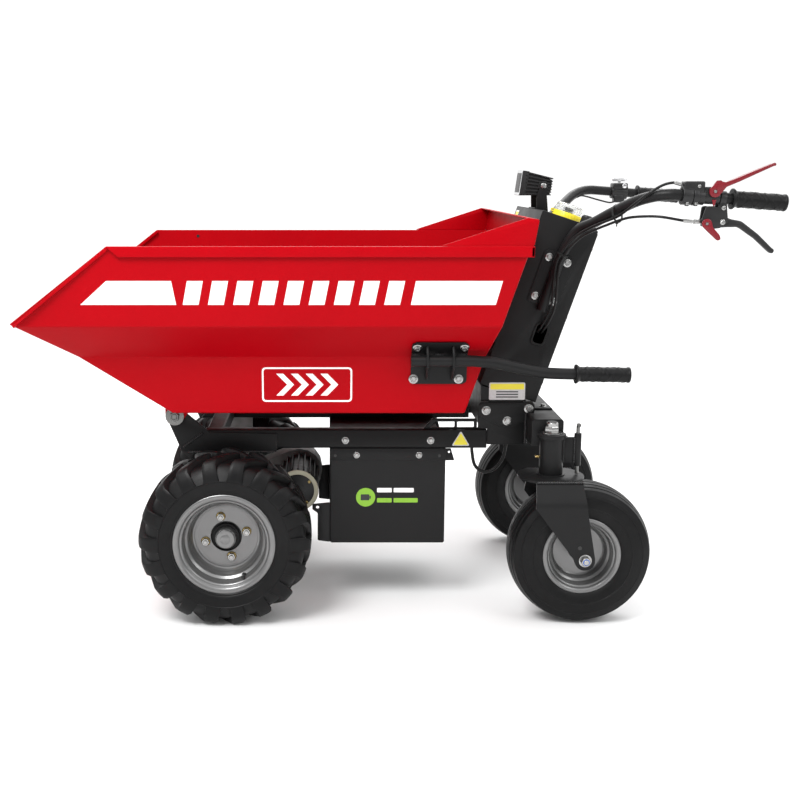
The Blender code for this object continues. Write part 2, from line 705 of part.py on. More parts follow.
def tub():
    points, faces = [], [[3, 2, 1, 0]]
    levels = tub_levels()
    for z, half, front in levels:
        rear = tub_rear_x(z)
        points += [(front, -half, z), (rear, -half, z), (rear, half, z), (front, half, z)]
    for level in range(len(levels) - 1):
        base = 4 * level
        corners = 3 if level == len(levels) - 2 else 4
        for i in range(corners):
            j = (i + 1) % 4
            faces.append([base + i, base + j, base + 4 + j, base + 4 + i])
    shell = sheet("tub_shell", points, faces, TUB_SHEET, "tub_red")
    pieces = []
    for side in (LEFT, RIGHT):
        outer = TUB_RIM_Y + 0.007
        pieces.append(side_block(
            "rim_piece", side, (TUB_MOUTH_X, TUB_REAR_TOP_X + 0.002), (outer - RIM_THICK, outer),
            (TUB_RIM_Z - RIM_DEPTH, TUB_RIM_Z + 0.001), "tub_red", 0.002,
        ))
        fold = 0.013
        mouth = [
            (TUB_MOUTH_X + 0.004, TUB_RIM_Z + 0.001), (TUB_LIP_X - 0.002, TUB_FOLD_Z + 0.003),
            (TUB_LIP_X + 0.002, TUB_FOLD_Z - 0.006), (TUB_LIP_X + 0.012, TUB_FOLD_Z - 0.004),
            (TUB_MOUTH_X + 0.004, TUB_RIM_Z - fold),
        ]
        pieces.append(side_plate("mouth_piece", side, mouth, TUB_FOLD_Y - 0.006, TUB_RIM_Y + 0.0065, "tub_red"))
        lug = [
            (-0.535, 0.5155), (-0.535, HINGE_Z), *arc(HINGE_X, HINGE_Z, 0.0225, 180, 340, 7),
            (-0.468, TUB_FLOOR_Z + 0.0015), (TUB_FRONT_X, TUB_FLOOR_Z + 0.0015),
        ]
        pieces.append(side_plate(
            "lug_piece", side, lug, TUB_LUG_Y, TUB_LUG_Y + EAR_THICK, "tub_red",
            [(HINGE_X, HINGE_Z, HINGE_PIN + RUNNING / 2)],
        ))
    pieces.append(block("rear_rim_piece", (TUB_REAR_TOP_X - 0.002, -TUB_RIM_Y, TUB_RIM_Z - RIM_DEPTH),
                        (TUB_REAR_TOP_X + 0.006, TUB_RIM_Y, TUB_RIM_Z + 0.001), "tub_red", 0.002))
    fuse(shell, *pieces)
    guard_base = TUB_RIM_Z + 0.001 + GAP
    rear = plate(
        "spill_guard",
        [(0.3010, guard_base), (0.3040, guard_base), (0.3145, GUARD_TOP_Z - 0.004), (0.2895, GUARD_TOP_Z),
         (0.2890, GUARD_TOP_Z - 0.003), (0.3105, GUARD_TOP_Z - 0.0065)],
        -0.396, 0.396, "tub_red",
    )
    gussets = [
        side_plate("guard_gusset", side,
                   [(0.100, guard_base), (0.3038, guard_base), (0.3142, GUARD_TOP_Z - 0.0045),
                    (0.2892, GUARD_TOP_Z - 0.0002)],
                   0.3935, 0.3965, "tub_red")
        for side in (LEFT, RIGHT)
    ]
    fuse(rear, *gussets)
    hang(TUB_PIVOT, shell, rear)


def tub_half_width(z):
    """Half width of the tub's outer face at height z, between the floor and the fold."""
    if z <= TUB_KNEE_Z:
        share = (z - TUB_FLOOR_Z) / (TUB_KNEE_Z - TUB_FLOOR_Z)
        return TUB_FLOOR_Y + share * (TUB_KNEE_Y - TUB_FLOOR_Y)
    share = (z - TUB_KNEE_Z) / (TUB_FOLD_Z - TUB_KNEE_Z)
    return TUB_KNEE_Y + share * (TUB_FOLD_Y - TUB_KNEE_Y)


def tipping_handle(side):
    name = side_name(side)
    (x0, x1), (z0, z1) = TIP_PLATE_X, TIP_PLATE_Z
    rows = [(z0, 0.0006), (TUB_KNEE_Z, 0.0008), (z1, 0.0008)]
    thick = 0.004
    points = []
    for z, clearance in rows:
        y = side * (tub_half_width(z) + clearance)
        points += [(x0, y, z), (x1, y, z)]
    faces = [[0, 1, 3, 2], [2, 3, 5, 4]]
    if side == RIGHT:
        faces = [list(reversed(face)) for face in faces]
    base = sheet(f"tipping_handle_{name}", points, faces, thick, "frame_black", offset=1)
    ribs = []
    for x in (0.0800, 0.1390):
        rib = [
            (tub_half_width(0.575) + 0.002, 0.575), (tub_half_width(TUB_KNEE_Z) + 0.0025, TUB_KNEE_Z),
            (tub_half_width(0.662) + 0.003, 0.662), (TIP_BAR_Y + 0.004, 0.636), (TIP_BAR_Y + 0.004, 0.616),
        ]
        loop = plate("rib_piece", rib, -0.0025, 0.0025, "frame_black")
        loop.rotation_euler = (math.radians(90), 0, math.radians(90 * side))
        loop.location = (x, 0, 0)
        ribs.append(loop)
    bar_z, grip_z, end_z = 0.6255, 0.5956, 0.5933
    y = side * TIP_BAR_Y
    bar = as_mesh(tube(
        "bar_piece",
        [(0.0431, y, bar_z), (0.115, y, bar_z), (0.180, y, bar_z), (0.215, y, bar_z - 0.003),
         (0.315, y, 0.6025), (0.352, y, 0.5975), (0.4163, y, grip_z), (0.5380, y, end_z)],
        TIP_BAR_RADIUS, "frame_black", 3, 2,
    ))
    bolts = []
    for x, z in ((0.0575, 0.6560), (0.1640, 0.6560), (0.0510, 0.5790), (0.1550, 0.5790)):
        out = tub_half_width(z) + 0.003
        tilt = -0.006 if z > TUB_KNEE_Z else 0.0
        bolts.append(peg("plate_bolt", (x, side * out, z), (x, side * (out + 0.010), z + tilt), 0.0085,
                         "zinc", 6))
    fuse(base, *ribs, bar, *bolts)
    lean = math.atan2(grip_z - end_z, 0.5380 - 0.4163)
    grip = grip_body(f"tipping_grip_{name}", TIP_BAR_RADIUS, 0.018, 0.022, 0.125, "grip_black")
    grip.location = (0.4163, y, grip_z)
    grip.rotation_euler = (0, math.radians(90) + lean, 0)
    hang(TUB_PIVOT, base, grip)


def grip_body(name, bar, radius, flange, length, look):
    """Rubber grip along local Z, closed at its outer end."""
    bore = bar + 0.0006
    return turned(
        name,
        [(0, length), (radius * 0.8, length), (radius, length - 0.004), (radius, 0.006), (flange, 0.005),
         (flange, 0), (bore, 0), (bore, length - 0.003), (0, length - 0.003)],
        look, 16,
    )


# ---------------------------------------------------------------- column and handlebars

def column():
    """Folded box column with an open rear, its cover and the controller inside, in its leaning frame."""
    half_depth = COLUMN_DEPTH / 2
    shell = block("column_shell", (-half_depth, -COLUMN_HALF, 0), (half_depth, COLUMN_HALF, COLUMN_LENGTH),
                  "cover_black", 0.002)
    hollow = block(
        "column_hollow",
        (-half_depth + COLUMN_SHEET, -COLUMN_HALF + COLUMN_SHEET, COLUMN_SHEET),
        (half_depth + 0.02, COLUMN_HALF - COLUMN_SHEET, COLUMN_LENGTH - COLUMN_SHEET), "cover_black",
    )
    inset = 0.003
    cover = block(
        "column_rear_cover",
        (half_depth - 0.004, -COLUMN_HALF + COLUMN_SHEET + inset, COLUMN_SHEET + inset),
        (half_depth - 0.001, COLUMN_HALF - COLUMN_SHEET - inset, COLUMN_LENGTH - COLUMN_SHEET - inset),
        "cover_black",
    )
    heads = [
        peg("cover_screw", (half_depth - 0.002, y, z), (half_depth + 0.003, y, z), 0.0065, "zinc", 8)
        for y in (-0.165, 0.165) for z in (0.050, 0.215, 0.385)
    ]
    controller = block("motor_controller", (-half_depth + 0.006, -0.090, 0.120), (-0.010, 0.090, 0.270),
                       "cast_grey", 0.004)
    cable_slot = [(0.0095, 0.135), (0.0375, 0.135), (0.0375, 0.183), (0.0095, 0.183)]
    opening = plate("cable_opening", cable_slot, -COLUMN_HALF - 0.01, -COLUMN_HALF + 0.01, "cover_black")
    for obj in (shell, hollow, cover, controller, opening, *heads):
        obj.parent = COLUMN_FRAME
    cut(shell, hollow, opening)
    fuse(cover, *heads)


def in_column(x, y, z):
    """World point of a place in the column's leaning frame."""
    s, c = math.sin(COLUMN_LEAN), math.cos(COLUMN_LEAN)
    return (COLUMN_X + x * c + z * s, y, COLUMN_Z - x * s + z * c)


def handlebar(side):
    """Bolted side plate and the tube that bends up, out and back to the grip."""
    name = side_name(side)
    low_y, high_y = span_y(side, COLUMN_HALF + GAP, COLUMN_HALF + 0.005)
    base = block(f"handlebar_{name}", (-0.035, low_y, 0.226), (0.040, high_y, 0.354), "frame_black", 0.001)
    base.parent = COLUMN_FRAME
    bolts = []
    for x in (-0.0197, 0.0250):
        for z in (0.2418, 0.3377):
            bolt = peg("bar_bolt", (x, side * (COLUMN_HALF + 0.004), z), (x, side * (COLUMN_HALF + 0.011), z),
                       0.0070, "zinc", 6)
            bolt.parent = COLUMN_FRAME
            bolts.append(bolt)
    bar_y = COLUMN_HALF + 0.0165
    start = in_column(0.003, side * bar_y, 0.222)
    bend = in_column(0.003, side * bar_y, 0.345)
    tip_x = GRIP_END - 0.006
    route = [
        start, in_column(0.003, side * bar_y, 0.285), bend,
        (0.4306, side * 0.2230, 0.9100), (0.4674, side * 0.2600, 0.9354), (0.4995, side * 0.3000, 0.9596),
        (0.5355, side * 0.3500, 0.9837), (0.5680, side * 0.3830, 0.9955), (0.5950, side * 0.3975, 0.9985),
    ]
    straight = [bar_point(x, side) for x in (BAR_FLAT_X, BAR_FLAT_X + 0.020, tip_x)]
    bend = smooth_route(route + [straight[0]], 2)
    bar = as_mesh(tube("bar_piece", bend + straight[1:], BAR_RADIUS, "frame_black", 2, 0))
    fuse(base, bar, *bolts)
    grip = grip_body(f"handlebar_grip_{name}", BAR_RADIUS, GRIP_RADIUS, GRIP_FLANGE, GRIP_END - GRIP_START,
                     "grip_black")
    grip.location = bar_point(GRIP_START, side)
    grip.rotation_euler = (0, math.radians(90) + BAR_SLOPE, 0)


def bar_point(x, side):
    """Point on the straight end of a handlebar's centre line."""
    return (x, side * BAR_Y, BAR_FLAT_Z - (x - BAR_FLAT_X) * math.tan(BAR_SLOPE))


def bar_sleeve(name, side, x, length, radius, look):
    """A clamp round the straight end of a handlebar, before the bar's clearance is cut."""
    return peg(name, bar_point(x, side), bar_point(x + length, side), radius, look, 20)


def clear_bar(obj, side):
    """Cuts the handlebar's straight end, with clearance, out of a clamped piece."""
    return cut(obj, peg("bar_clearance", bar_point(0.600, side), bar_point(0.730, side), BAR_RADIUS + 0.0006,
                        "control_black", 18))


def left_controls():
    """Throttle housing and its red lever, brake bracket with the lever and the red parking lock."""
    pivot_x, pivot_z = 0.6843, 1.0053
    housing = bar_sleeve("throttle_housing", LEFT, 0.6174, 0.048, 0.021, "control_black")
    fuse(
        housing,
        bar_sleeve("front_sleeve", LEFT, 0.6640, 0.0340, 0.0150, "control_black"),
        block("housing_top", (0.6190, -0.4140, 1.0080), (0.6640, -0.3860, 1.0270), "control_black", 0.003),
        block("throttle_block", (0.6600, -0.4120, 0.9980), (0.6970, -0.3880, 1.0150), "control_black", 0.002),
        peg("throttle_pin", (pivot_x, -0.4220, pivot_z), (pivot_x, -0.3950, pivot_z), 0.0035, "zinc", 10),
    )
    clear_bar(housing, LEFT)
    lever_outline = [
        *arc(pivot_x, pivot_z, 0.0125, 120, 330, 8),
        (0.7080, 1.0150), (0.7600, 1.0385), (0.8060, 1.0590), *arc(0.8070, 1.0625, 0.0038, -60, 100, 4),
        (0.7560, 1.0460), (0.7060, 1.0250), (0.6990, 1.0260), (0.6950, 1.0290), (0.6870, 1.0285),
        (0.6830, 1.0235),
    ]
    lever = plate("throttle_lever", lever_outline, -0.4215, -0.4160, "lever_red",
                  [(pivot_x, pivot_z, 0.0035 + RUNNING / 2)])
    fuse(lever, plate("thumb_blade", [(0.7200, 1.0220), (0.7600, 1.0390), (0.8060, 1.0595), (0.8045, 1.0645),
                                      (0.7560, 1.0450), (0.7180, 1.0280)], -0.4170, -0.4030, "lever_red"))
    hang(pivot("throttle_axis", (pivot_x, -0.415, pivot_z)), lever)

    bracket = bar_sleeve("brake_bracket", LEFT, 0.6995, 0.0135, 0.0150, "control_black")
    fuse(
        bracket,
        plate("bracket_arm", [(0.6675, 0.9740), (0.6675, 0.9300), (0.6760, 0.9280), (0.7120, 0.9400),
                              (0.7120, 0.9860), (0.7000, 0.9860), (0.6990, 0.9740)], -0.3890, -0.3830,
              "control_black"),
        plate("bracket_ear", [(0.6640, 0.9740), (0.6640, 0.9280), (0.7060, 0.9300), (0.7130, 0.9440),
                              (0.7120, 0.9860), (0.7000, 0.9860), (0.6990, 0.9740)], -0.4115, -0.4065,
              "control_black"),
        peg("brake_pin", (0.7069, -0.4140, 0.9399), (0.7069, -0.4070, 0.9399), 0.0045, "zinc", 10),
        peg("brake_pin_in", (0.7069, -0.4080, 0.9399), (0.7069, -0.3870, 0.9399), 0.0035, "zinc", 10),
        peg("cable_adjuster", (0.6450, -0.4000, 0.9405), (0.6680, -0.4000, 0.9405), 0.0050, "zinc", 12),
        block("adjuster_boss", (0.6650, -0.4070, 0.9330), (0.6740, -0.3885, 0.9480), "control_black"),
    )
    clear_bar(bracket, LEFT)
    hub_x, hub_z = 0.7069, 0.9399
    brake_outline = [
        *arc(hub_x, hub_z, 0.0130, 60, 250, 8),
        (0.7200, 0.9290), (0.7430, 0.9290), (0.7800, 0.9040), (0.8140, 0.8740),
        *arc(0.8195, 0.8780, 0.0055, -110, 60, 5), (0.7860, 0.9140), (0.7480, 0.9420), (0.7280, 0.9500),
    ]
    brake = plate("brake_lever", brake_outline, -0.4055, -0.3935, "control_black",
                  [(hub_x, hub_z, 0.0035 + RUNNING / 2)])
    hang(pivot("brake_axis", (hub_x, -0.400, hub_z)), brake)

    lock_x, lock_z = 0.6717, 0.9365
    fuse(bracket, peg("lock_pin", (lock_x, -0.4185, lock_z), (lock_x, -0.4100, lock_z), 0.0030, "zinc", 8))
    lock_outline = [
        *arc(lock_x, lock_z, 0.0105, 30, 230, 7),
        (0.6700, 0.9200), (0.6960, 0.9000), (0.7030, 0.9050), (0.6850, 0.9290),
    ]
    lock = plate("parking_lock_lever", lock_outline, -0.4175, -0.4135, "lever_red",
                 [(lock_x, lock_z, 0.0030 + RUNNING / 2)])
    hang(pivot("parking_lock_axis", (lock_x, -0.4155, lock_z)), lock)


def right_controls():
    """Switch pod with a push button and a direction lever."""
    pod = bar_sleeve("switch_pod", RIGHT, 0.6545, 0.0445, 0.020, "control_black")
    fuse(pod, block("pod_box", (0.6560, 0.3790, 1.0020), (0.6980, 0.4210, 1.0180), "control_black", 0.003))
    cut(pod, peg("button_recess", (0.6860, 0.3700, 1.0100), (0.6860, 0.3855, 1.0100), 0.0078, "control_black", 14))
    clear_bar(pod, RIGHT)
    button = peg("pod_button", (0.6860, 0.3720, 1.0100), (0.6860, 0.3815, 1.0100), 0.0068, "zinc", 14)
    hang(pivot("button_axis", (0.6860, 0.3735, 1.0100)), button)
    lever = block("direction_lever", (0.6560, 0.3960, 1.0230), (0.6980, 0.4040, 1.0330), "zinc", 0.002)
    fuse(lever, peg("lever_post", (0.6770, 0.4000, 1.0186), (0.6770, 0.4000, 1.0240), 0.0050, "zinc", 12))
    hang(pivot("direction_axis", (0.6770, 0.4000, 1.0183)), lever)


def column_top():
    """Work light on its bracket, guarded key switch and speed knob."""
    top = COLUMN_LENGTH
    light_x, light_z, light_half = 0.3670, 1.0200, 0.040
    ear_gap = light_half + 0.0006
    bracket = block("work_light_bracket", (-0.0660, -ear_gap - 0.003, top + GAP),
                    (-0.0250, ear_gap + 0.003, top + 0.004), "frame_black")
    bracket.parent = COLUMN_FRAME
    pivot_x, pivot_z = 0.3841, 1.0139
    ears = [
        side_plate(
            "bracket_ear", side,
            [in_column(-0.060, 0, top + 0.001)[::2], in_column(-0.030, 0, top + 0.001)[::2],
             (0.3930, 0.9900), *arc(pivot_x, pivot_z, 0.0100, -20, 200, 7), (0.3680, 0.9900)],
            ear_gap, ear_gap + 0.003, "frame_black",
        )
        for side in (LEFT, RIGHT)
    ]
    screws = [
        peg("ear_screw", (pivot_x, side * (ear_gap + 0.002), pivot_z), (pivot_x, side * (ear_gap + 0.008), pivot_z),
            0.0065, "zinc", 6)
        for side in (LEFT, RIGHT)
    ]
    fuse(bracket, *ears, *screws)
    light = block("work_light", (0.3240, -light_half, 0.9890), (0.4100, light_half, 1.0520), "cover_black", 0.004)
    grooves = [
        block("fin_groove", (x, -light_half - 0.01, z0), (x + 0.0035, light_half + 0.01, z1), "cover_black")
        for x in (0.3880, 0.3950, 0.4020) for z0, z1 in ((0.980, 0.9960), (1.0450, 1.060))
    ]
    cut(light, *grooves)
    hang(pivot("light_axis", (pivot_x, 0, pivot_z)), light)
    ring = turned(
        "key_switch_base",
        [(0, 0.010), (0.018, 0.010), (0.018, 0.006), (0.036, 0.006), (0.036, 0.0003), (0, 0.0003)],
        "ring_yellow", 24, (0.012, -0.060, top),
    )
    ring.parent = COLUMN_FRAME
    hinge = block("cover_hinge", (0.0440, -0.0700, top + 0.0010), (0.0520, -0.0500, top + 0.0060), "ring_yellow")
    hinge.parent = COLUMN_FRAME
    fuse(ring, hinge)
    cover = turned(
        "key_switch_cover",
        [(0, 0.038), (0.014, 0.036), (0.025, 0.029), (0.031, 0.018), (0.033, 0.0065), (0.0310, 0.0065),
         (0.029, 0.017), (0.0235, 0.027), (0.013, 0.0335), (0, 0.0355)],
        "cover_clear", 24, (0.012, -0.060, top),
    )
    cover.parent = COLUMN_FRAME
    knob = turned(
        "speed_knob", [(0, 0.024), (0.012, 0.024), (0.014, 0.020), (0.014, 0.0008), (0, 0.0008)],
        "control_black", 16, (0.050, -0.115, top),
    )
    knob.parent = COLUMN_FRAME


# ---------------------------------------------------------------- cables

def cables():
    """Throttle and brake cables from the left controls to the grommet, and the loop under the rail."""
    tube("throttle_cable", [
        (0.6166, -0.4000, 1.0200), (0.6037, -0.3970, 1.0240), (0.5800, -0.3930, 1.0190), (0.5515, -0.3905, 1.0020),
        (0.5320, -0.3740, 0.9840), (0.5165, -0.3470, 0.9650), (0.5010, -0.3200, 0.9485), (0.4800, -0.2970, 0.9370),
        (0.4605, -0.2775, 0.9265), (0.4375, -0.2520, 0.9110), (0.4215, -0.2390, 0.8960), (0.4085, -0.2320, 0.8785),
        (0.3965, -0.2280, 0.8600), (0.3878, -0.2262, 0.8417), (0.3838, -0.2258, 0.8175), (0.3820, -0.2262, 0.7920),
        (0.3815, -0.2232, 0.7590), (0.3785, -0.2150, 0.7300), (0.3700, -0.2050, 0.7040), (0.3610, -0.1965, 0.6830),
        (0.3565, -0.1850, 0.6720),
    ], 0.0030, "cable_black", 2, 2)
    tube("brake_cable", [
        (0.6446, -0.4000, 0.9405), (0.6222, -0.3990, 0.9433), (0.5812, -0.3900, 0.9503), (0.5552, -0.3700, 0.9510),
        (0.5250, -0.3440, 0.9478), (0.5050, -0.3230, 0.9405), (0.4838, -0.3000, 0.9295), (0.4645, -0.2800, 0.9190),
        (0.4420, -0.2550, 0.9040), (0.4275, -0.2425, 0.8900), (0.4158, -0.2350, 0.8745), (0.4050, -0.2300, 0.8575),
        (0.3962, -0.2280, 0.8400), (0.3920, -0.2265, 0.8175), (0.3902, -0.2262, 0.7920), (0.3895, -0.2240, 0.7590),
        (0.3868, -0.2175, 0.7290), (0.3785, -0.2070, 0.7010), (0.3698, -0.1970, 0.6810), (0.3655, -0.1850, 0.6695),
    ], 0.0030, "cable_black", 2, 2)
    tube("wiring_loop", [
        (0.2050, -0.1850, RAIL_BOTTOM - GAP), (0.2060, -0.1850, 0.3760), (0.2130, -0.1850, 0.3450),
        (0.2332, -0.1850, 0.3280), (0.2600, -0.1850, 0.3340), (0.2800, -0.1850, 0.3600),
        (0.2870, -0.1850, 0.3900), (0.2880, -0.1850, 0.4100), (0.2880, -0.1850, 0.4400 - GAP),
    ], 0.0040, "cable_black", 2, 2)


clear_scene()
PARTS = new_collection("power_wheelbarrow")
HELPERS = new_collection("cutters_and_joined_pieces")
TUB_PIVOT = pivot("tub_hinge_axis", (HINGE_X, 0, HINGE_Z))
COLUMN_FRAME = pivot("column_frame", (COLUMN_X, 0, COLUMN_Z), (0, COLUMN_LEAN, 0))

CROSSMEMBER = caster_crossmember()
for machine_side in (LEFT, RIGHT):
    drive_wheel(machine_side)
    caster(machine_side, CROSSMEMBER)
    frame_rail(machine_side)
    hinge_pin(machine_side)
    gusset(machine_side)
    handlebar(machine_side)
tipping_handle(LEFT)
front_crossmember_and_foot()
battery_box()
transaxle()
tub()
column()
column_top()
left_controls()
right_controls()
cables()
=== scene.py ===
"""Looks of the battery power wheelbarrow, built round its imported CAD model.

Metres, +Z up, ground at Z = 0. -X is the tub's dumping lip, +X the handlebars, -Y the machine's left.
"""

import json
import math

import bmesh
import bpy
from mathutils import Matrix, Vector

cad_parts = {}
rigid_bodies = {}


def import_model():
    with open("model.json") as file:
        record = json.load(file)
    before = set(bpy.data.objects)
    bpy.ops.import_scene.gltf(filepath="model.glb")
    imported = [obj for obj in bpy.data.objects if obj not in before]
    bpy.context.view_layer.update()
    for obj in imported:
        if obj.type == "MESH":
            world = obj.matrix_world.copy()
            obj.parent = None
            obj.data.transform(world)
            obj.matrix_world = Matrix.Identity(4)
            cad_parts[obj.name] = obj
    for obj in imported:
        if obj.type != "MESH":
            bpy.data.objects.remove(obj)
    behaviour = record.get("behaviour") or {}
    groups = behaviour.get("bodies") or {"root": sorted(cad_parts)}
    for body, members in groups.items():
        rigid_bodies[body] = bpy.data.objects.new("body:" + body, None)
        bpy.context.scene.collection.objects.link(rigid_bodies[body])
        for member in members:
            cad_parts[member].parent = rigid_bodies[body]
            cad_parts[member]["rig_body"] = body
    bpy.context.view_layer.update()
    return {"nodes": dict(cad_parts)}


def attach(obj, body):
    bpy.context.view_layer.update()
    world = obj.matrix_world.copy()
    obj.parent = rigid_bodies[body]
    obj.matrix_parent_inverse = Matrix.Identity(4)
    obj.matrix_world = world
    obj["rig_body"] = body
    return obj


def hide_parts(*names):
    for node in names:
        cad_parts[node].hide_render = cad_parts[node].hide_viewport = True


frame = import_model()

LEFT, RIGHT = -1, 1
SIDES = ((LEFT, "left"), (RIGHT, "right"))
NODES = frame["nodes"]

# Wheels
DRIVE_X, DRIVE_RADIUS, DRIVE_WIDTH = -0.3855, 0.202, 0.165
DRIVE_SEAT, DRIVE_LIP, DRIVE_RIM_HALF = 0.1015, 0.1175, 0.0735
HUB_HOLE, LUG_CIRCLE, LUG_TURN = 0.037, 0.05, 14
WHEEL_Y = 0.3
SWIVEL_X, TRAIL = 0.3765, 0.07
CASTER_X = SWIVEL_X + TRAIL
CASTER_RADIUS, CASTER_WIDTH = 0.168, 0.125
CASTER_SEAT, CASTER_LIP, CASTER_RIM_HALF = 0.0775, 0.09, 0.053
PIN_X = SWIVEL_X + 0.061
FORK_DISC, FORK_PLATE_HALF, FORK_PLATE_LOW, FORK_PLATE_HIGH = 0.077, 0.0625, 0.3442, 0.3508

# Chassis
RAIL_OUTER_Y, RAIL_INNER_Y = 0.2, 0.165
RAIL_BOTTOM, RAIL_TOP, RAIL_FRONT, RAIL_REAR = 0.39, 0.435, -0.492, 0.2392
HINGE_X, HINGE_Z = -0.5125, 0.472
BOX_HALF_X, BOX_HALF_Y, BOX_BOTTOM = 0.1405, 0.2, 0.151
CROSS_FRONT, CROSS_REAR, CROSS_BOTTOM, CROSS_TOP, CROSS_HALF = 0.3335, 0.4085, 0.414, 0.477, 0.272
GUSSET_INNER, GUSSET_OUTER = 0.1905, 0.1965

# Tub
TUB_Z = (0.496, 0.63, 0.709, 0.886)
TUB_Y = (0.3, 0.31, 0.385, 0.393)
TUB_FRONT_X, TUB_LIP_X, TUB_MOUTH_X = -0.5055, -0.8435, -0.6315
TUB_REAR_X, TUB_REAR_TOP_X = 0.1725, 0.3005
TUB_SHEET = 0.003
GUARD_TOP_Z = 0.949

# Column and handlebars
COLUMN_X, COLUMN_Z, COLUMN_LEAN = 0.2881, 0.5235, math.radians(18.4)
COLUMN_LENGTH, COLUMN_DEPTH, COLUMN_HALF = 0.436, 0.1425, 0.19
BAR_RADIUS, BAR_Y = 0.0125, 0.4
GRIP_START, GRIP_END, GRIP_RADIUS, GRIP_FLANGE = 0.7255, 0.8447, 0.0185, 0.0225
BAR_FLAT_X, BAR_FLAT_Z, BAR_END_Z = 0.6148, 0.9976, 0.9805
BAR_SLOPE = math.atan2(BAR_FLAT_Z - BAR_END_Z, 0.8449 - BAR_FLAT_X)
TIP_BAR_Y, TIP_BAR_RADIUS = 0.34, 0.013

# Studio
CAMERA_PLACE, CAMERA_PITCH = (-0.1475, -2.986, 1.04), math.radians(90) - math.atan2(225, 1180)
CAMERA_LENS, CAMERA_SENSOR, CAMERA_SHIFT = 53.1, 36.0, 0.09125
FLOOR_REACH, FLOOR_DROP = 40.0, 0.0005
# Grey at two places of the sky's height along each axis, 0 at -1 and 1 at +1; the two are added.
SKY = (("Y", ((0.25, 0.34), (0.8, 1.04))), ("Z", ((0.54, 0.0), (0.88, 1.15))))
# Name, place, aim, size in metres, power in watts.
LIGHTS = (
    ("key", (-1.6, -2.4, 3.6), (0, 0, 0.4), 1.8, 155),
    ("fill", (2.8, -2.4, 2.4), (0.1, 0, 0.5), 1.6, 24),
    ("rear", (0.4, 2.6, 3.4), (0, 0, 0.4), 2.4, 60),
)


# ---------------------------------------------------------------- materials

class Nodes:
    """Short calls for one material's node tree."""

    def __init__(self, name):
        self.material = bpy.data.materials.new(name)
        self.material.use_nodes = True
        self.tree = self.material.node_tree
        self.shader = self.tree.nodes["Principled BSDF"]
        self.place = self.add("ShaderNodeTexCoord").outputs["Object"]

    def add(self, kind, **settings):
        node = self.tree.nodes.new(kind)
        for key, value in settings.items():
            setattr(node, key, value)
        return node

    def link(self, a, b):
        self.tree.links.new(a, b)

    def noise(self, scale, detail=3, roughness=0.55):
        node = self.add("ShaderNodeTexNoise")
        node.inputs["Scale"].default_value = scale
        node.inputs["Detail"].default_value = detail
        node.inputs["Roughness"].default_value = roughness
        self.link(self.place, node.inputs["Vector"])
        return node.outputs["Fac"]

    def ramp(self, value, *stops):
        node = self.add("ShaderNodeValToRGB")
        elements = node.color_ramp.elements
        while len(elements) < len(stops):
            elements.new(0.5)
        for element, (position, colour) in zip(elements, stops):
            element.position = position
            element.color = (*colour, 1) if isinstance(colour, tuple) else (colour,) * 3 + (1,)
        self.link(value, node.inputs["Fac"])
        return node.outputs["Color"]

    def mix(self, factor, a, b, blend="MIX"):
        node = self.add("ShaderNodeMix", data_type="RGBA", blend_type=blend)
        for socket, value in zip((node.inputs[0], node.inputs[6], node.inputs[7]), (factor, a, b)):
            if hasattr(value, "links"):
                self.link(value, socket)
            elif isinstance(value, tuple):
                socket.default_value = (*value, 1)
            else:
                socket.default_value = value
        return node.outputs[2]

    def bump(self, height, strength, distance, under=None):
        node = self.add("ShaderNodeBump")
        node.inputs["Strength"].default_value = strength
        node.inputs["Distance"].default_value = distance
        self.link(height, node.inputs["Height"])
        if under is not None:
            self.link(under, node.inputs["Normal"])
        return node.outputs["Normal"]

    def finish(self, colour=None, rough=None, normal=None, **constants):
        if colour is not None:
            self.link(colour, self.shader.inputs["Base Color"])
        if rough is not None:
            self.link(rough, self.shader.inputs["Roughness"])
        if normal is not None:
            self.link(normal, self.shader.inputs["Normal"])
        for key, value in constants.items():
            socket = self.shader.inputs[key.replace("_", " ")]
            socket.default_value = (*value, 1) if isinstance(value, tuple) else value
        return self.material


def scaled(colour, share):
    return tuple(min(1.0, c * share) for c in colour)


def powder_coat(name, colour, rough=0.42, orange_peel=0.25, shine=0.25):
    """Baked powder paint: fine orange peel, a trace of clouding and uneven gloss."""
    n = Nodes(name)
    cloud = n.ramp(n.noise(4.5, 3), (0.3, scaled(colour, 0.95)), (0.72, scaled(colour, 1.05)))
    fine = n.ramp(n.noise(240, 2), (0.35, 0.95), (0.7, 1.0))
    tint = n.mix(1.0, cloud, fine, "MULTIPLY")
    roughness = n.ramp(n.noise(28, 3), (0.3, rough - 0.04), (0.75, rough + 0.06))
    peel = n.bump(n.noise(520, 2), orange_peel, 0.0004)
    wave = n.bump(n.noise(9, 2), 0.06, 0.004, peel)
    return n.finish(tint, roughness, wave, Metallic=0.0, Specular_IOR_Level=shine)


def rubber(name, colour, rough=0.62, dust=0.35):
    n = Nodes(name)
    tint = n.ramp(n.noise(18, 5), (0.3, scaled(colour, 0.8)), (0.75, scaled(colour, 1.25)))
    dusty = n.ramp(n.noise(75, 6, 0.7), (0.5, 0.0), (0.8, dust))
    tint = n.mix(dusty, tint, (0.045, 0.044, 0.043))
    roughness = n.ramp(n.noise(40, 3), (0.3, rough - 0.07), (0.75, rough + 0.1))
    grain = n.bump(n.noise(420, 3), 0.3, 0.0006)
    return n.finish(tint, roughness, grain, Metallic=0.0, Specular_IOR_Level=0.18)


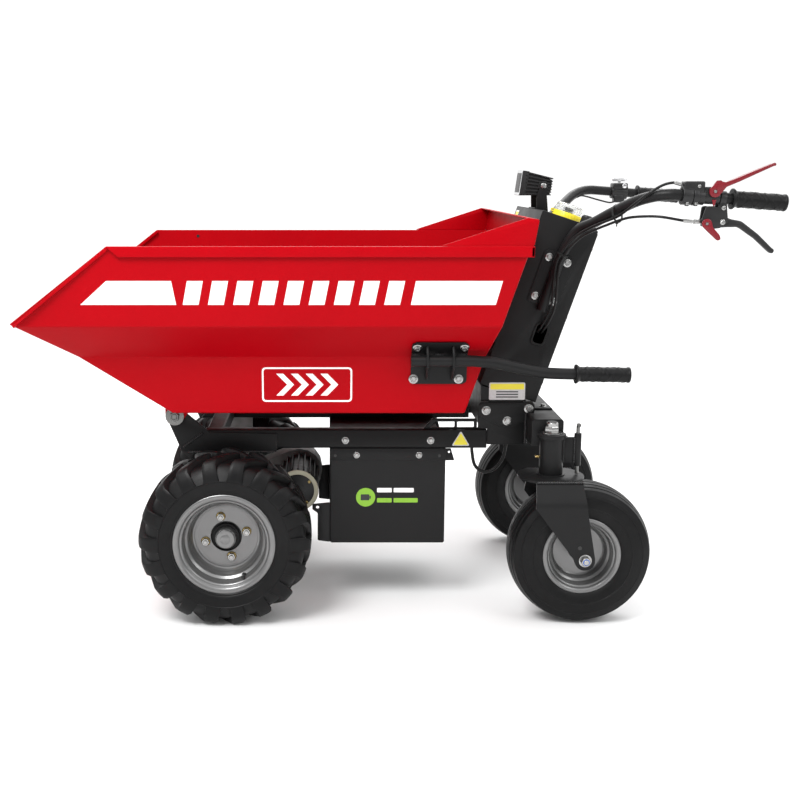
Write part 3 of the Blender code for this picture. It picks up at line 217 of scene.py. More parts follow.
def bright_metal(name, colour, rough=0.28, metallic=1.0, streak=0.16, blotch=0.12):
    """Plated or painted metal with fine scratches and slightly clouded gloss."""
    n = Nodes(name)
    tint = n.ramp(n.noise(22, 4), (0.28, scaled(colour, 1 - blotch)), (0.72, scaled(colour, 1 + blotch / 2)))
    roughness = n.ramp(n.noise(60, 3), (0.3, max(0.05, rough - blotch / 2)), (0.75, rough + blotch / 2))
    stretch = n.add("ShaderNodeMapping")
    stretch.inputs["Scale"].default_value = (40, 260, 900)
    n.link(n.place, stretch.inputs["Vector"])
    lines = n.add("ShaderNodeTexNoise")
    lines.inputs["Scale"].default_value = 1.5
    n.link(stretch.outputs["Vector"], lines.inputs["Vector"])
    return n.finish(tint, roughness, n.bump(lines.outputs["Fac"], streak, 0.0002), Metallic=metallic)


def moulded(name, colour, rough=0.42, grain=0.22):
    n = Nodes(name)
    tint = n.ramp(n.noise(12, 3), (0.3, scaled(colour, 0.88)), (0.72, scaled(colour, 1.12)))
    roughness = n.ramp(n.noise(55, 3), (0.3, rough - 0.05), (0.72, rough + 0.08))
    return n.finish(tint, roughness, n.bump(n.noise(650, 2), grain, 0.0003), Specular_IOR_Level=0.35)


def cast(name, colour):
    n = Nodes(name)
    tint = n.ramp(n.noise(45, 6), (0.25, scaled(colour, 0.6)), (0.75, scaled(colour, 1.2)))
    roughness = n.ramp(n.noise(90, 4), (0.3, 0.42), (0.7, 0.66))
    return n.finish(tint, roughness, n.bump(n.noise(380, 5, 0.7), 0.6, 0.001), Metallic=0.75)


def clear(name):
    """Clear moulded plastic with faint haze."""
    n = Nodes(name)
    roughness = n.ramp(n.noise(40, 3), (0.3, 0.05), (0.75, 0.16))
    tint = n.ramp(n.noise(16, 2), (0.3, (0.9, 0.91, 0.9)), (0.7, (0.97, 0.98, 0.98)))
    return n.finish(tint, roughness, Transmission_Weight=0.9, IOR=1.25, Alpha=0.45)


def printed(name, colour, rough=0.34):
    """Vinyl film with a slight mottle."""
    n = Nodes(name)
    tint = n.ramp(n.noise(30, 4), (0.25, scaled(colour, 0.92)), (0.75, scaled(colour, 1.03)))
    roughness = n.ramp(n.noise(90, 3), (0.3, rough - 0.06), (0.7, rough + 0.08))
    return n.finish(tint, roughness, n.bump(n.noise(300, 2), 0.08, 0.0003), Metallic=0.0)


def lamp_glass(name):
    n = Nodes(name)
    cells = n.add("ShaderNodeTexVoronoi")
    cells.inputs["Scale"].default_value = 120
    n.link(n.place, cells.inputs["Vector"])
    tint = n.ramp(cells.outputs["Distance"], (0.1, (0.75, 0.77, 0.78)), (0.8, (0.3, 0.31, 0.32)))
    return n.finish(tint, None, n.bump(cells.outputs["Distance"], 0.5, 0.001), Roughness=0.12,
                    Coat_Weight=0.8, Coat_Roughness=0.04)


RED_PAINT = powder_coat("tub_red_paint", (0.36, 0.0006, 0.0042), 0.38, 0.1, 0.06)
FRAME_BLACK = powder_coat("frame_powder_coat", (0.008, 0.008, 0.0083), 0.42, 0.25, 0.19)
COLUMN_BLACK = powder_coat("column_powder_coat", (0.0085, 0.0085, 0.0088), 0.4, 0.28, 0.2)
WELD_BLACK = powder_coat("painted_weld", (0.013, 0.013, 0.0135), 0.34, 0.45, 0.35)
TYRE = rubber("tyre_rubber", (0.0034, 0.0034, 0.0036), 0.44, 0.06)
GRIP = rubber("grip_rubber", (0.0045, 0.0045, 0.0048), 0.4, 0.04)
CABLE = rubber("cable_sheath", (0.008, 0.008, 0.008), 0.34, 0.05)
RIM_SILVER = bright_metal("silver_rim_paint", (0.185, 0.185, 0.185), 0.32, 0.74, 0.012, 0.04)
ZINC = bright_metal("bright_zinc", (0.36, 0.36, 0.355), 0.24, 0.95)
DARK_ZINC = bright_metal("dark_zinc", (0.16, 0.16, 0.155), 0.3, 0.9)
YELLOW_ZINC = bright_metal("yellow_zinc", (0.5, 0.37, 0.15), 0.3, 0.95)
CHROME = bright_metal("chrome", (0.8, 0.8, 0.81), 0.1, 1.0, 0.02)
CAST = cast("cast_alloy", (0.24, 0.24, 0.235))
CREAM = moulded("motor_ring", (0.4, 0.38, 0.29), 0.42)
PLASTIC = moulded("black_plastic", (0.011, 0.011, 0.0115), 0.36)
LAMP_BLACK = powder_coat("lamp_housing", (0.012, 0.012, 0.0125), 0.36, 0.3, 0.35)
LEVER_RED = moulded("red_lever", (0.16, 0.008, 0.014), 0.26, 0.1)
YELLOW = moulded("yellow_ring", (0.8, 0.66, 0.03), 0.34, 0.1)
BLUE = moulded("nylon_ring", (0.06, 0.14, 0.45), 0.4, 0.1)
CLEAR = clear("clear_cover")
LENS = lamp_glass("lamp_lens")
BATTERY = moulded("battery_case", (0.06, 0.06, 0.065), 0.5)
WHITE_FILM = printed("white_film", (0.86, 0.83, 0.83))
YELLOW_FILM = printed("yellow_film", (0.78, 0.68, 0.03))
SILVER_FILM = printed("silver_film", (0.52, 0.51, 0.51), 0.28)
GREEN_FILM = printed("green_film", (0.2, 0.42, 0.02))
# Black film: real print on the labels, and also painted shade in flat black discs that stand in for open
# holes.
BLACK_PRINT_AND_HOLE_SHADE = printed("black_print_and_hole_shade", (0.012, 0.012, 0.012))


# ---------------------------------------------------------------- shapes

def smooth_route(points, per_span=8):
    """Points along a Catmull-Rom curve through the route."""
    route = [Vector(p) for p in points]
    padded = [2 * route[0] - route[1]] + route + [2 * route[-1] - route[-2]]
    made = []
    for i in range(1, len(padded) - 2):
        a, b, c, d = padded[i - 1:i + 3]
        for step in range(per_span):
            t = step / per_span
            made.append(0.5 * (
                2 * b + (c - a) * t + (2 * a - 5 * b + 4 * c - d) * t * t
                + (3 * b - a - 3 * c + d) * t ** 3
            ))
    return made + [route[-1]]


def arc(x, z, radius, start, end, count=9):
    """Points on an arc in degrees, anticlockwise from +X towards +Z."""
    steps = [math.radians(start + (end - start) * i / (count - 1)) for i in range(count)]
    return [(x + radius * math.cos(a), z + radius * math.sin(a)) for a in steps]


def circle(x, z, radius, sides=24):
    return arc(x, z, radius, 0, 360 - 360 / sides, sides)


def filleted(points, radius, steps=4, closed=True):
    """The outline with each corner rounded, as far as its two sides allow."""
    made = []
    count = len(points)
    for i, corner in enumerate(points):
        if not closed and i in (0, count - 1):
            made.append(corner)
            continue
        here = Vector(corner)
        before, after = Vector(points[i - 1]) - here, Vector(points[(i + 1) % count]) - here
        turn = math.pi - before.angle(after, math.pi)
        if turn < 0.12:
            made.append(corner)
            continue
        reach = min(radius * math.tan(turn / 2), 0.45 * before.length, 0.45 * after.length)
        start, end = here + before.normalized() * reach, here + after.normalized() * reach
        for step in range(steps + 1):
            t = step / steps
            made.append(tuple((1 - t) ** 2 * start + 2 * t * (1 - t) * here + t * t * end))
    return made


def rounded_rect(x0, z0, x1, z1, radius, steps=5):
    return filleted([(x0, z0), (x1, z0), (x1, z1), (x0, z1)], radius, steps)


def along(start, end):
    """Matrix that carries local Z from start towards end, with its origin at start."""
    start, end = Vector(start), Vector(end)
    return Matrix.Translation(start) @ (end - start).to_track_quat("Z", "Y").to_matrix().to_4x4()


COLUMN_FRAME = Matrix.Translation((COLUMN_X, 0, COLUMN_Z)) @ Matrix.Rotation(COLUMN_LEAN, 4, "Y")


def in_column(x, y, z):
    """World point of a place in the column's leaning frame."""
    return COLUMN_FRAME @ Vector((x, y, z))


def bar_point(x, side, out=0.0, up=0.0):
    """Point on the straight end of a handlebar's centre line."""
    return Vector((x, side * (BAR_Y + out), BAR_FLAT_Z - (x - BAR_FLAT_X) * math.tan(BAR_SLOPE) + up))


def spun(place, index, count):
    """The place turned about its own Z to one of count equal steps."""
    return place @ Matrix.Rotation(2 * math.pi * index / count, 4, "Z")


class Shape:
    """Closed shells gathered in one mesh, in world space."""

    def __init__(self):
        self.bm = bmesh.new()

    def ring(self, points):
        return [self.bm.verts.new(p) for p in points]

    def skin(self, rings, around=True):
        """Quads between rings; a ring of one vertex is a pole."""
        for a, b in zip(rings, rings[1:]):
            count = max(len(a), len(b))
            if count == 1:
                continue
            for i in range(count if around else count - 1):
                j = (i + 1) % count
                if len(a) == 1:
                    self.bm.faces.new((a[0], b[j], b[i]))
                elif len(b) == 1:
                    self.bm.faces.new((a[i], a[j], b[0]))
                else:
                    self.bm.faces.new((a[i], a[j], b[j], b[i]))

    def solid(self, rings):
        """Skin between rings of equal count, with both ends closed."""
        self.skin(rings)
        self.bm.faces.new(rings[0])
        self.bm.faces.new(rings[-1])
        return self

    def lathe(self, profile, place, steps=64, start=0.0):
        """A (radius, height) outline turned about the local Z of place."""
        rings = []
        for radius, height in profile:
            if abs(radius) < 1e-7:
                rings.append(self.ring([place @ Vector((0, 0, height))]))
                continue
            angles = [start + 2 * math.pi * i / steps for i in range(steps)]
            rings.append(self.ring([place @ Vector((radius * math.cos(a), radius * math.sin(a), height))
                                    for a in angles]))
        if abs(profile[0][0]) > 1e-7 or abs(profile[-1][0]) > 1e-7:
            rings.append(rings[0])
        self.skin(rings)
        return self

    def tube(self, points, radius, sides=16, ripple=0.0, pitch=0.006, caps=True):
        """A round bar along the points; ripple makes it a weld bead."""
        points = [Vector(p) for p in points]
        tangents = [(points[min(i + 1, len(points) - 1)] - points[max(i - 1, 0)]).normalized()
                    for i in range(len(points))]
        first = tangents[0].orthogonal().normalized()
        rings, run = [], 0.0
        for i, (point, tangent) in enumerate(zip(points, tangents)):
            first = (first - tangent * first.dot(tangent)).normalized()
            second = tangent.cross(first)
            if i:
                run += (point - points[i - 1]).length
            size = radius * (1 + ripple * math.sin(2 * math.pi * run / pitch)) if ripple else radius
            rings.append(self.ring([
                point + size * (math.cos(a) * first + math.sin(a) * second)
                for a in (2 * math.pi * k / sides for k in range(sides))
            ]))
        self.skin(rings)
        if caps:
            self.bm.faces.new(list(reversed(rings[0])))
            self.bm.faces.new(rings[-1])
        return self

    def weld(self, *points, radius=0.0022):
        """A rippled weld bead along straight runs between the points."""
        route = []
        for a, b in zip(points, points[1:]):
            a, b = Vector(a), Vector(b)
            count = max(2, int((b - a).length / 0.0011))
            route += [a.lerp(b, i / count) for i in range(count)]
        return self.tube(route + [Vector(points[-1])], radius, 8, 0.26, 0.0055)

    def box(self, low, high, bevel=0.002, segments=3, place=None):
        """A block between opposite corners with rounded edges."""
        low, high = Vector(low), Vector(high)
        part = bmesh.new()
        bmesh.ops.create_cube(part, size=1, matrix=Matrix.Translation((low + high) / 2)
                              @ Matrix.Diagonal((*(high - low), 1)))
        if bevel:
            bmesh.ops.bevel(part, geom=part.edges[:], offset=bevel, segments=segments, profile=0.5,
                            affect="EDGES", clamp_overlap=True)
        return self.take_bmesh(part, place)

    def side_box(self, side, x, y, z, bevel=0.002, segments=3):
        low, high = sorted((side * y[0], side * y[1]))
        return self.box((x[0], low, z[0]), (x[1], high, z[1]), bevel, segments)

    def plate(self, outline, y0, y1, bevel=0.0008, holes=(), place=None):
        """An (X, Z) outline with holes, thick along Y, with its edges broken."""
        low, high = sorted((y0, y1))
        curve = bpy.data.curves.new("outline", "CURVE")
        curve.dimensions = "2D"
        curve.fill_mode = "BOTH"
        curve.extrude = max((high - low) / 2 - bevel, 0.00002)
        curve.bevel_depth = bevel
        curve.bevel_resolution = 1
        curve.offset = -bevel
        for loop in [outline, *holes]:
            spline = curve.splines.new("POLY")
            spline.points.add(len(loop) - 1)
            for point, (x, z) in zip(spline.points, loop):
                point.co = (x, z, 0, 1)
            spline.use_cyclic_u = True
        obj = bpy.data.objects.new("outline", curve)
        obj.matrix_world = Matrix.Translation((0, (low + high) / 2, 0)) @ Matrix.Rotation(math.pi / 2, 4, "X")
        bpy.context.scene.collection.objects.link(obj)
        return self.take(obj, place)

    def side_plate(self, side, outline, y0, y1, bevel=0.0008, holes=()):
        return self.plate(outline, side * y0, side * y1, bevel, holes)

    def strip(self, rows, columns, thickness):
        """A bent strip of plate: rows of (start, end, direction of its thickness)."""
        faces = []
        for sign in (-0.5, 0.5):
            faces.append([
                self.ring([Vector(a).lerp(Vector(b), i / columns) + Vector(n) * thickness * sign
                           for i in range(columns + 1)])
                for a, b, n in rows
            ])
        under, over = faces
        self.skin(under, False)
        self.skin([list(reversed(row)) for row in over], False)
        edge_a = under[0] + [row[-1] for row in under[1:]] + list(reversed(under[-1]))[1:]
        edge_a += [row[0] for row in reversed(under[1:-1])]
        edge_b = over[0] + [row[-1] for row in over[1:]] + list(reversed(over[-1]))[1:]
        edge_b += [row[0] for row in reversed(over[1:-1])]
        self.skin([edge_a, edge_b])
        return self

    def bolt(self, place, out, radius=0.0085, washer=1.45, height=0.0065):
        """A hex flange bolt head: washer face, chamfered hexagon and dished top."""
        place = Vector(place)
        spot = along(place, place + Vector(out))
        flange = 0.24 * height
        self.lathe([(0, -0.001), (radius * washer, -0.001), (radius * washer, flange * 0.5),
                    (radius * 1.05, flange * 1.3), (0, flange * 1.3)], spot, 28)
        self.lathe([(0, flange), (radius, flange), (radius, height * 0.84), (radius * 0.86, height),
                    (radius * 0.62, height), (radius * 0.55, height * 0.9), (0, height * 0.88)], spot, 6)
        return self

    def take_bmesh(self, part, place=None):
        if place is not None:
            bmesh.ops.transform(part, matrix=place, verts=part.verts)
        mesh = bpy.data.meshes.new("part")
        part.to_mesh(mesh)
        part.free()
        self.bm.from_mesh(mesh)
        bpy.data.meshes.remove(mesh)
        return self

    def take(self, obj, place=None):
        """Adds the evaluated shape of a helper object and removes that object."""
        bpy.context.view_layer.update()
        mesh = bpy.data.meshes.new_from_object(obj.evaluated_get(bpy.context.evaluated_depsgraph_get()))
        part = bmesh.new()
        part.from_mesh(mesh)
        bmesh.ops.transform(part, matrix=obj.matrix_world, verts=part.verts)
        bmesh.ops.remove_doubles(part, verts=part.verts, dist=1e-6)
        bpy.data.meshes.remove(mesh)
        bpy.data.objects.remove(obj, do_unlink=True)
        return self.take_bmesh(part, place)

    def done(self, name, material, smooth=34):
        bmesh.ops.recalc_face_normals(self.bm, faces=self.bm.faces)
        mesh = bpy.data.meshes.new(name)
        self.bm.to_mesh(mesh)
        self.bm.free()
        mesh.materials.append(material)
        mesh.shade_smooth()
        mesh.set_sharp_from_angle(angle=math.radians(smooth))
        obj = bpy.data.objects.new(name, mesh)
        bpy.context.scene.collection.objects.link(obj)
        return obj


def stand_for(obj, *nodes):
    """The piece takes the place of CAD nodes: it goes on their body and hides them."""
    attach(obj, NODES[nodes[0]]["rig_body"])
    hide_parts(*nodes)
    return obj


def add_on(obj, node):
    """A small piece fixed to the body that a CAD node belongs to."""
    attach(obj, NODES[node]["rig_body"])
    return obj


def dress(node, material, bevel=0.0):
    """A CAD node that is shown as it is, with a better finish and broken edges."""
    obj = NODES[node]
    obj.data.materials.clear()
    obj.data.materials.append(material)
    if bevel:
        rounding = obj.modifiers.new("Broken edges", "BEVEL")
        rounding.width = bevel
        rounding.segments = 2
        rounding.limit_method = "ANGLE"
        rounding.angle_limit = math.radians(40)
    return obj


def facing_out(x, side, z, y=WHEEL_Y):
    """Matrix at a wheel's centre whose local Z points away from the middle plane."""
    return Matrix.Translation((x, side * y, z)) @ Matrix.Rotation(-side * math.pi / 2, 4, "X")


# ---------------------------------------------------------------- drive wheels

def lug_envelope(lateral):
    """Radius of the tread blocks' outer face at a distance from the wheel's centre plane."""
    half = DRIVE_WIDTH / 2
    share = min(1.0, abs(lateral) / half)
    return DRIVE_RADIUS - 0.0035 * share ** 2 - 0.0385 * max(0.0, (share - 0.66) / 0.34) ** 2.1


def carcass_radius(lateral):
    half = DRIVE_WIDTH / 2 - 0.0015
    share = min(1.0, abs(lateral) / half)
    return DRIVE_RADIUS - 0.0135 - 0.003 * share ** 2 - 0.032 * max(0.0, (share - 0.6) / 0.4) ** 2.0


def drive_tyre(side, name):
    place = facing_out(DRIVE_X, side, DRIVE_RADIUS)
    half = DRIVE_WIDTH / 2 - 0.0015
    tread = [(carcass_radius(half * (1 - i / 14)), half * (1 - i / 14)) for i in range(15)]
    wall = [
        (DRIVE_SEAT + 0.0005, DRIVE_RIM_HALF - 0.01), (DRIVE_LIP + 0.0012, DRIVE_RIM_HALF - 0.01),
        (DRIVE_LIP + 0.0014, DRIVE_RIM_HALF + 0.0005), (DRIVE_LIP + 0.0035, DRIVE_RIM_HALF + 0.0022),
        (DRIVE_LIP + 0.007, DRIVE_RIM_HALF + 0.0022), (DRIVE_LIP + 0.0085, DRIVE_RIM_HALF + 0.0036),
        (0.134, half - 0.0026), (0.144, half - 0.001), (0.15, half - 0.0004), (0.1512, half + 0.0009),
        (0.1528, half + 0.0009), (0.154, half - 0.0002),
    ]
    upper = wall + tread
    profile = upper + [(r, -z) for r, z in reversed(upper[:-1])]
    shape = Shape().lathe(profile, place, 144)
    # The lugs sweep back from the middle the same way on both wheels, so the turn's sign follows the side.
    lugs, steps, sweep = 18, 13, math.radians(17) * side
    for flank in (1, -1):
        for index in range(lugs):
            base = 2 * math.pi * (index + (0.5 if flank < 0 else 0.0)) / lugs
            rings = []
            for step in range(steps + 1):
                t = step / steps
                lateral = flank * (DRIVE_WIDTH / 2 * (1 - t) - 0.006 * t)
                if step == 0:
                    outer, inner = 0.157, 0.1525
                else:
                    outer = lug_envelope(lateral)
                    inner = min(carcass_radius(lateral), outer) - 0.004
                angle = base + sweep * max(0.0, (t - 0.16) / 0.84) ** 1.15
                half_width = (0.0165 - 0.007 * t) / outer
                flare = 0.0032 / outer
                cross = [
                    (inner, -half_width - flare), (outer - 0.0022, -half_width - flare * 0.2),
                    (outer - 0.0004, -half_width + flare * 0.35), (outer, -half_width * 0.5),
                    (outer, half_width * 0.5), (outer - 0.0004, half_width - flare * 0.35),
                    (outer - 0.0022, half_width + flare * 0.2), (inner, half_width + flare),
                ]
                rings.append(shape.ring([
                    place @ Vector((r * math.cos(angle + a), r * math.sin(angle + a), lateral))
                    for r, a in cross
                ]))
            shape.solid(rings)
    stand_for(shape.done(f"lugged_tyre_{name}", TYRE, 38), f"drive_tyre_{name}")


def thick_profile(outer, thickness, radius=0.0035):
    """An open section line given a thickness behind it, with smooth bends."""
    line = [Vector(p) for p in filleted(outer, radius, 4, closed=False)]
    back = []
    for i, point in enumerate(line):
        run = line[min(i + 1, len(line) - 1)] - line[max(i - 1, 0)]
        normal = Vector((-run.y, run.x)).normalized()
        back.append(point - normal * thickness)
    return [tuple(p) for p in line] + [tuple(p) for p in reversed(back)]


def drive_rim(side, name):
    place = facing_out(DRIVE_X, side, DRIVE_RADIUS)
    lip, top = DRIVE_LIP, DRIVE_RIM_HALF
    face = [
        (lip - 0.0002, top - 0.005), (lip, top - 0.001), (lip - 0.004, top), (lip - 0.0085, top - 0.002),
        (lip - 0.0125, top - 0.0075), (0.101, top - 0.0085), (0.0985, top - 0.015), (0.0968, top - 0.033),
        (0.0905, top - 0.0375), (0.088, top - 0.044), (0.0868, top - 0.058), (0.081, 0.0072),
        (0.076, 0.005), (0.0725, 0.0056), (0.07, 0.005), (0.05, 0.005), (HUB_HOLE, 0.005),
    ]
    shape = Shape().lathe(thick_profile(face, 0.003), place, 96)
    back = [
        (0.088, 0.01), (0.088, -0.033), (0.1, -top + 0.016), (0.104, -top + 0.008),
        (lip - 0.004, -top + 0.003), (lip, -top + 0.0015), (lip - 0.0015, -top + 0.0002),
        (lip - 0.0075, -top + 0.001), (0.101, -top + 0.006), (0.096, -top + 0.016), (0.0845, -0.032),
        (0.0845, 0.01),
    ]
    shape.lathe(back, place, 96)
    stand_for(shape.done(f"dished_rim_{name}", RIM_SILVER, 40), f"drive_rim_{name}")
    valve = Shape()
    spot = Matrix.Rotation(math.radians(-62), 4, "Z")
    foot = place @ spot @ Vector((0.0935, 0, top - 0.03))
    tip = place @ spot @ Vector((0.0905, 0, top - 0.003))
    valve.lathe([(0, 0), (0.0052, 0), (0.0046, 0.006), (0.003, 0.009), (0.003, 0.019), (0.0036, 0.0195),
                 (0.0036, 0.026), (0.0028, 0.0272), (0, 0.0272)], along(foot, tip), 16)
    add_on(valve.done(f"valve_stem_{name}", PLASTIC), f"drive_rim_{name}")


def drive_hub(side, name):
    place = facing_out(DRIVE_X, side, DRIVE_RADIUS)
    hub = Shape()
    hub.lathe([
        (0, -0.148), (0.012, -0.148), (0.012, -0.01), (0.0245, -0.01), (0.0245, 0.027), (0.0242, 0.029),
        (0.0235, 0.03), (0.0228, 0.03), (0.0226, 0.032), (0.0222, 0.034), (0.0208, 0.0354), (0.0185, 0.0359),
        (0.012, 0.0352), (0.011, 0.0358), (0, 0.036),
    ], place, 64)
    stand_for(hub.done(f"hub_cap_{name}", RIM_SILVER, 30), f"axle_{name}")
    flange = Shape().lathe([(0.0244, -0.0105), (0.0595, -0.0105), (0.06, -0.01), (0.06, 0.0004),
                            (0.031, 0.0006), (0.0305, 0.008), (0.0244, 0.0085)], place, 64)
    add_on(flange.done(f"hub_flange_{name}", FRAME_BLACK), f"axle_{name}")
    nuts, studs = Shape(), Shape()
    for index in range(4):
        angle = math.radians(LUG_TURN + 90 * index)
        x, z = DRIVE_X + LUG_CIRCLE * math.cos(angle), DRIVE_RADIUS + LUG_CIRCLE * math.sin(angle)
        spot = facing_out(x, side, z)
        nuts.lathe([(0, 0.0052), (0.0118, 0.0052), (0.0122, 0.0062), (0.0112, 0.0084), (0.0098, 0.0104),
                    (0, 0.0104)], spot, 32)
        studs.lathe([(0, 0.0098), (0.0086, 0.0098), (0.0096, 0.0112), (0.0096, 0.0172), (0.0086, 0.0188),
                     (0, 0.019)], spot, 6, index)
        studs.lathe([(0, 0.0186), (0.0052, 0.0186), (0.0052, 0.0214), (0.0044, 0.0224), (0, 0.0226)], spot,
            20)
    add_on(nuts.done(f"wheel_nuts_{name}", YELLOW_ZINC), f"axle_{name}")
    add_on(studs.done(f"wheel_studs_{name}", ZINC), f"axle_{name}")


# ---------------------------------------------------------------- casters

def caster_tyre(side, name):
    place = facing_out(CASTER_X, side, CASTER_RADIUS)
    half, top = CASTER_WIDTH / 2, CASTER_RADIUS
    grooves, groove_half, groove_deep, crown = (0.0075, 0.024, 0.0385), 0.0019, 0.0042, 3.96
    tread = []
    for i in range(85):
        lateral = 0.05 * (1 - i / 84)
        radius = top - 0.0004 - crown * lateral ** 2
        for groove in grooves:
            radius -= groove_deep * max(0.0, 1 - (abs(lateral - groove) / groove_half) ** 4)
        tread.append((radius, lateral))
    wall = [
        (CASTER_SEAT + 0.0005, CASTER_RIM_HALF - 0.01), (CASTER_LIP + 0.001, CASTER_RIM_HALF - 0.01),
        (CASTER_LIP + 0.0012, CASTER_RIM_HALF + 0.0003), (CASTER_LIP + 0.004, CASTER_RIM_HALF + 0.0024),
        (0.1, half - 0.004), (0.112, half - 0.0012), (0.1145, half - 0.0008), (0.1152, half),
        (0.1166, half), (0.1174, half - 0.0006), (0.13, half - 0.002), (0.14, half - 0.0045),
        (0.1408, half - 0.004), (0.1424, half - 0.0046), (0.143, half - 0.0062), (0.15, half - 0.0088),
        (0.1545, 0.0512),
    ]
    upper = wall + tread
    profile = upper + [(r, -z) for r, z in reversed(upper[:-1])]
    shape = Shape().lathe(profile, place, 144)
    stand_for(shape.done(f"ribbed_tyre_{name}", TYRE, 30), f"caster_tyre_{name}")


def caster_rim(side, name):
    place = facing_out(CASTER_X, side, CASTER_RADIUS)
    lip, top = CASTER_LIP, CASTER_RIM_HALF
    face = [
        (lip - 0.0002, top - 0.0045), (lip, top - 0.0008), (lip - 0.0035, top), (lip - 0.0075, top - 0.0022),
        (lip - 0.0105, top - 0.0075), (0.0765, top - 0.0085), (0.0745, top - 0.014), (0.0728, top - 0.027),
        (0.067, top - 0.031), (0.065, top - 0.035), (0.064, 0.006), (0.059, 0.0022), (0.04, 0.0022),
        (0.023, 0.0022),
    ]
    shape = Shape()
    for flip in (Matrix.Identity(4), Matrix.Rotation(math.pi, 4, "X")):
        shape.lathe(thick_profile(face, 0.0024, 0.003), place @ flip, 80)
    hub = [(0.0072, 0.05), (0.019, 0.05), (0.019, 0.043), (0.0215, 0.042), (0.0215, 0.033),
           (0.0185, 0.031), (0.0185, 0.006), (0.024, 0.0026)]
    hub = filleted(hub, 0.0015, 3, closed=False)
    shape.lathe(hub + [(r, -z) for r, z in reversed(hub)], place, 48)
    stand_for(shape.done(f"pressed_rim_{name}", RIM_SILVER, 40), f"caster_rim_{name}")


def caster_fork(side, name):
    centre = side * WHEEL_Y
    swivel = Matrix.Translation((SWIVEL_X, centre, 0))
    shape = Shape()
    reach = math.degrees(math.asin(FORK_PLATE_HALF / FORK_DISC))
    disc = arc(0, 0, FORK_DISC, -reach, reach, 20) + arc(0, 0, FORK_DISC, 180 - reach, 180 + reach, 20)
    flat_down = swivel @ Matrix(((1, 0, 0, 0), (0, 0, 1, 0), (0, 1, 0, 0), (0, 0, 0, 1)))
    shape.plate(disc, FORK_PLATE_LOW, FORK_PLATE_HIGH, 0.0008, (), flat_down)
    shape.lathe([(0, 0.348), (0.033, 0.348), (0.0325, 0.3536), (0, 0.3536)], swivel, 72)
    shape.lathe([(0, 0.345), (0.011, 0.345), (0.011, 0.477), (0, 0.477)], swivel, 28)
    top_z, fold_z, thick = 0.346, 0.298, 0.006
    for leg in (-1, 1):
        y_top, y_out = centre + leg * 0.059, centre + leg * 0.085
        slope = Vector((0, y_out - y_top, fold_z - top_z)).normalized()
        lean = Vector((0, -leg * slope.z, leg * slope.y))
        flat = Vector((0, leg, 0))
        rows = []
        for i in range(4):
            t = i / 4
            z, y = top_z + (fold_z + 0.006 - top_z) * t, y_top + (y_out - leg * 0.003 - y_top) * t
            rows.append((z, y, lean))
        for i in range(6):
            t = i / 5
            z = fold_z + 0.006 - 0.014 * t
            y = y_out - leg * 0.003 * (1 - t) ** 2
            rows.append((z, y, lean.lerp(flat, t).normalized()))
        front_top, rear_top = 0.334, 0.44
        tip_radius, tip_z = 0.024, CASTER_RADIUS
        made = []
        for z, y, normal in rows:
            share = (top_z - z) / (top_z - fold_z)
            made.append(((front_top - 0.003 * share, y, z), (rear_top + 0.0076 * share, y, z), normal))
        low_z = rows[-1][0]
        for i in range(1, 13):
            t = i / 12
            z = low_z + (tip_z + 0.004 - low_z) * t
            x0 = 0.331 + (CASTER_X - tip_radius * 0.985 - 0.331) * ((low_z - z) / (low_z - tip_z)) ** 1.02
            x1 = 0.4476 + (CASTER_X + tip_radius * 0.985 - 0.4476) * ((low_z - z) / (low_z - tip_z))
            made.append(((x0, y_out, z), (x1, y_out, z), flat))
        for i in range(1, 10):
            angle = math.radians(8 + 80 * i / 9)
            z, reach = tip_z - tip_radius * math.sin(angle), tip_radius * math.cos(angle)
            made.append(((CASTER_X - reach, y_out, z), (CASTER_X + reach, y_out, z), flat))
        shape.strip(made, 10, thick)
    stand_for(shape.done(f"welded_fork_{name}", FRAME_BLACK, 35), f"caster_fork_{name}")
    weld, hole_shade = Shape(), Shape()
    for leg in (-1, 1):
        y = centre + leg * (FORK_PLATE_HALF + 0.0006)
        weld.weld((0.3345, y + leg * 0.0012, 0.3468), (0.4395, y + leg * 0.0012, 0.3468), radius=0.003)
        # Flat black disc on the outside of each fork leg: painted shade standing in for an open hole.
        hole = Matrix.Translation((CASTER_X - 0.013, centre + leg * 0.0881, CASTER_RADIUS + 0.03))
        hole_shade.lathe([(0, 0), (0.0046, 0), (0.0046, 0.0003), (0, 0.0003)],
                    hole @ Matrix.Rotation(-leg * math.pi / 2, 4, "X"), 20)
    add_on(weld.done(f"fork_weld_{name}", WELD_BLACK, 60), f"caster_fork_{name}")
    add_on(hole_shade.done(f"fork_hole_shade_{name}", BLACK_PRINT_AND_HOLE_SHADE), f"caster_fork_{name}")
    # Washer, stem nut and the threaded end above it.
    nut = Shape()
    nut.lathe([(0, 0.4496), (0.0225, 0.4496), (0.023, 0.4502), (0.0228, 0.4516), (0, 0.4516)], swivel, 40)
    nut.lathe([(0, 0.4512), (0.0158, 0.4512), (0.017, 0.453), (0.017, 0.464), (0.0155, 0.4665),
               (0, 0.4665)], swivel, 6, 0.3)
    nut.lathe([(0, 0.466), (0.0138, 0.466), (0.0138, 0.4735), (0.0125, 0.4752), (0.011, 0.4756),
               (0.011, 0.4762), (0, 0.4762)], swivel, 32)
    add_on(nut.done(f"stem_nut_{name}", ZINC), f"caster_fork_{name}")


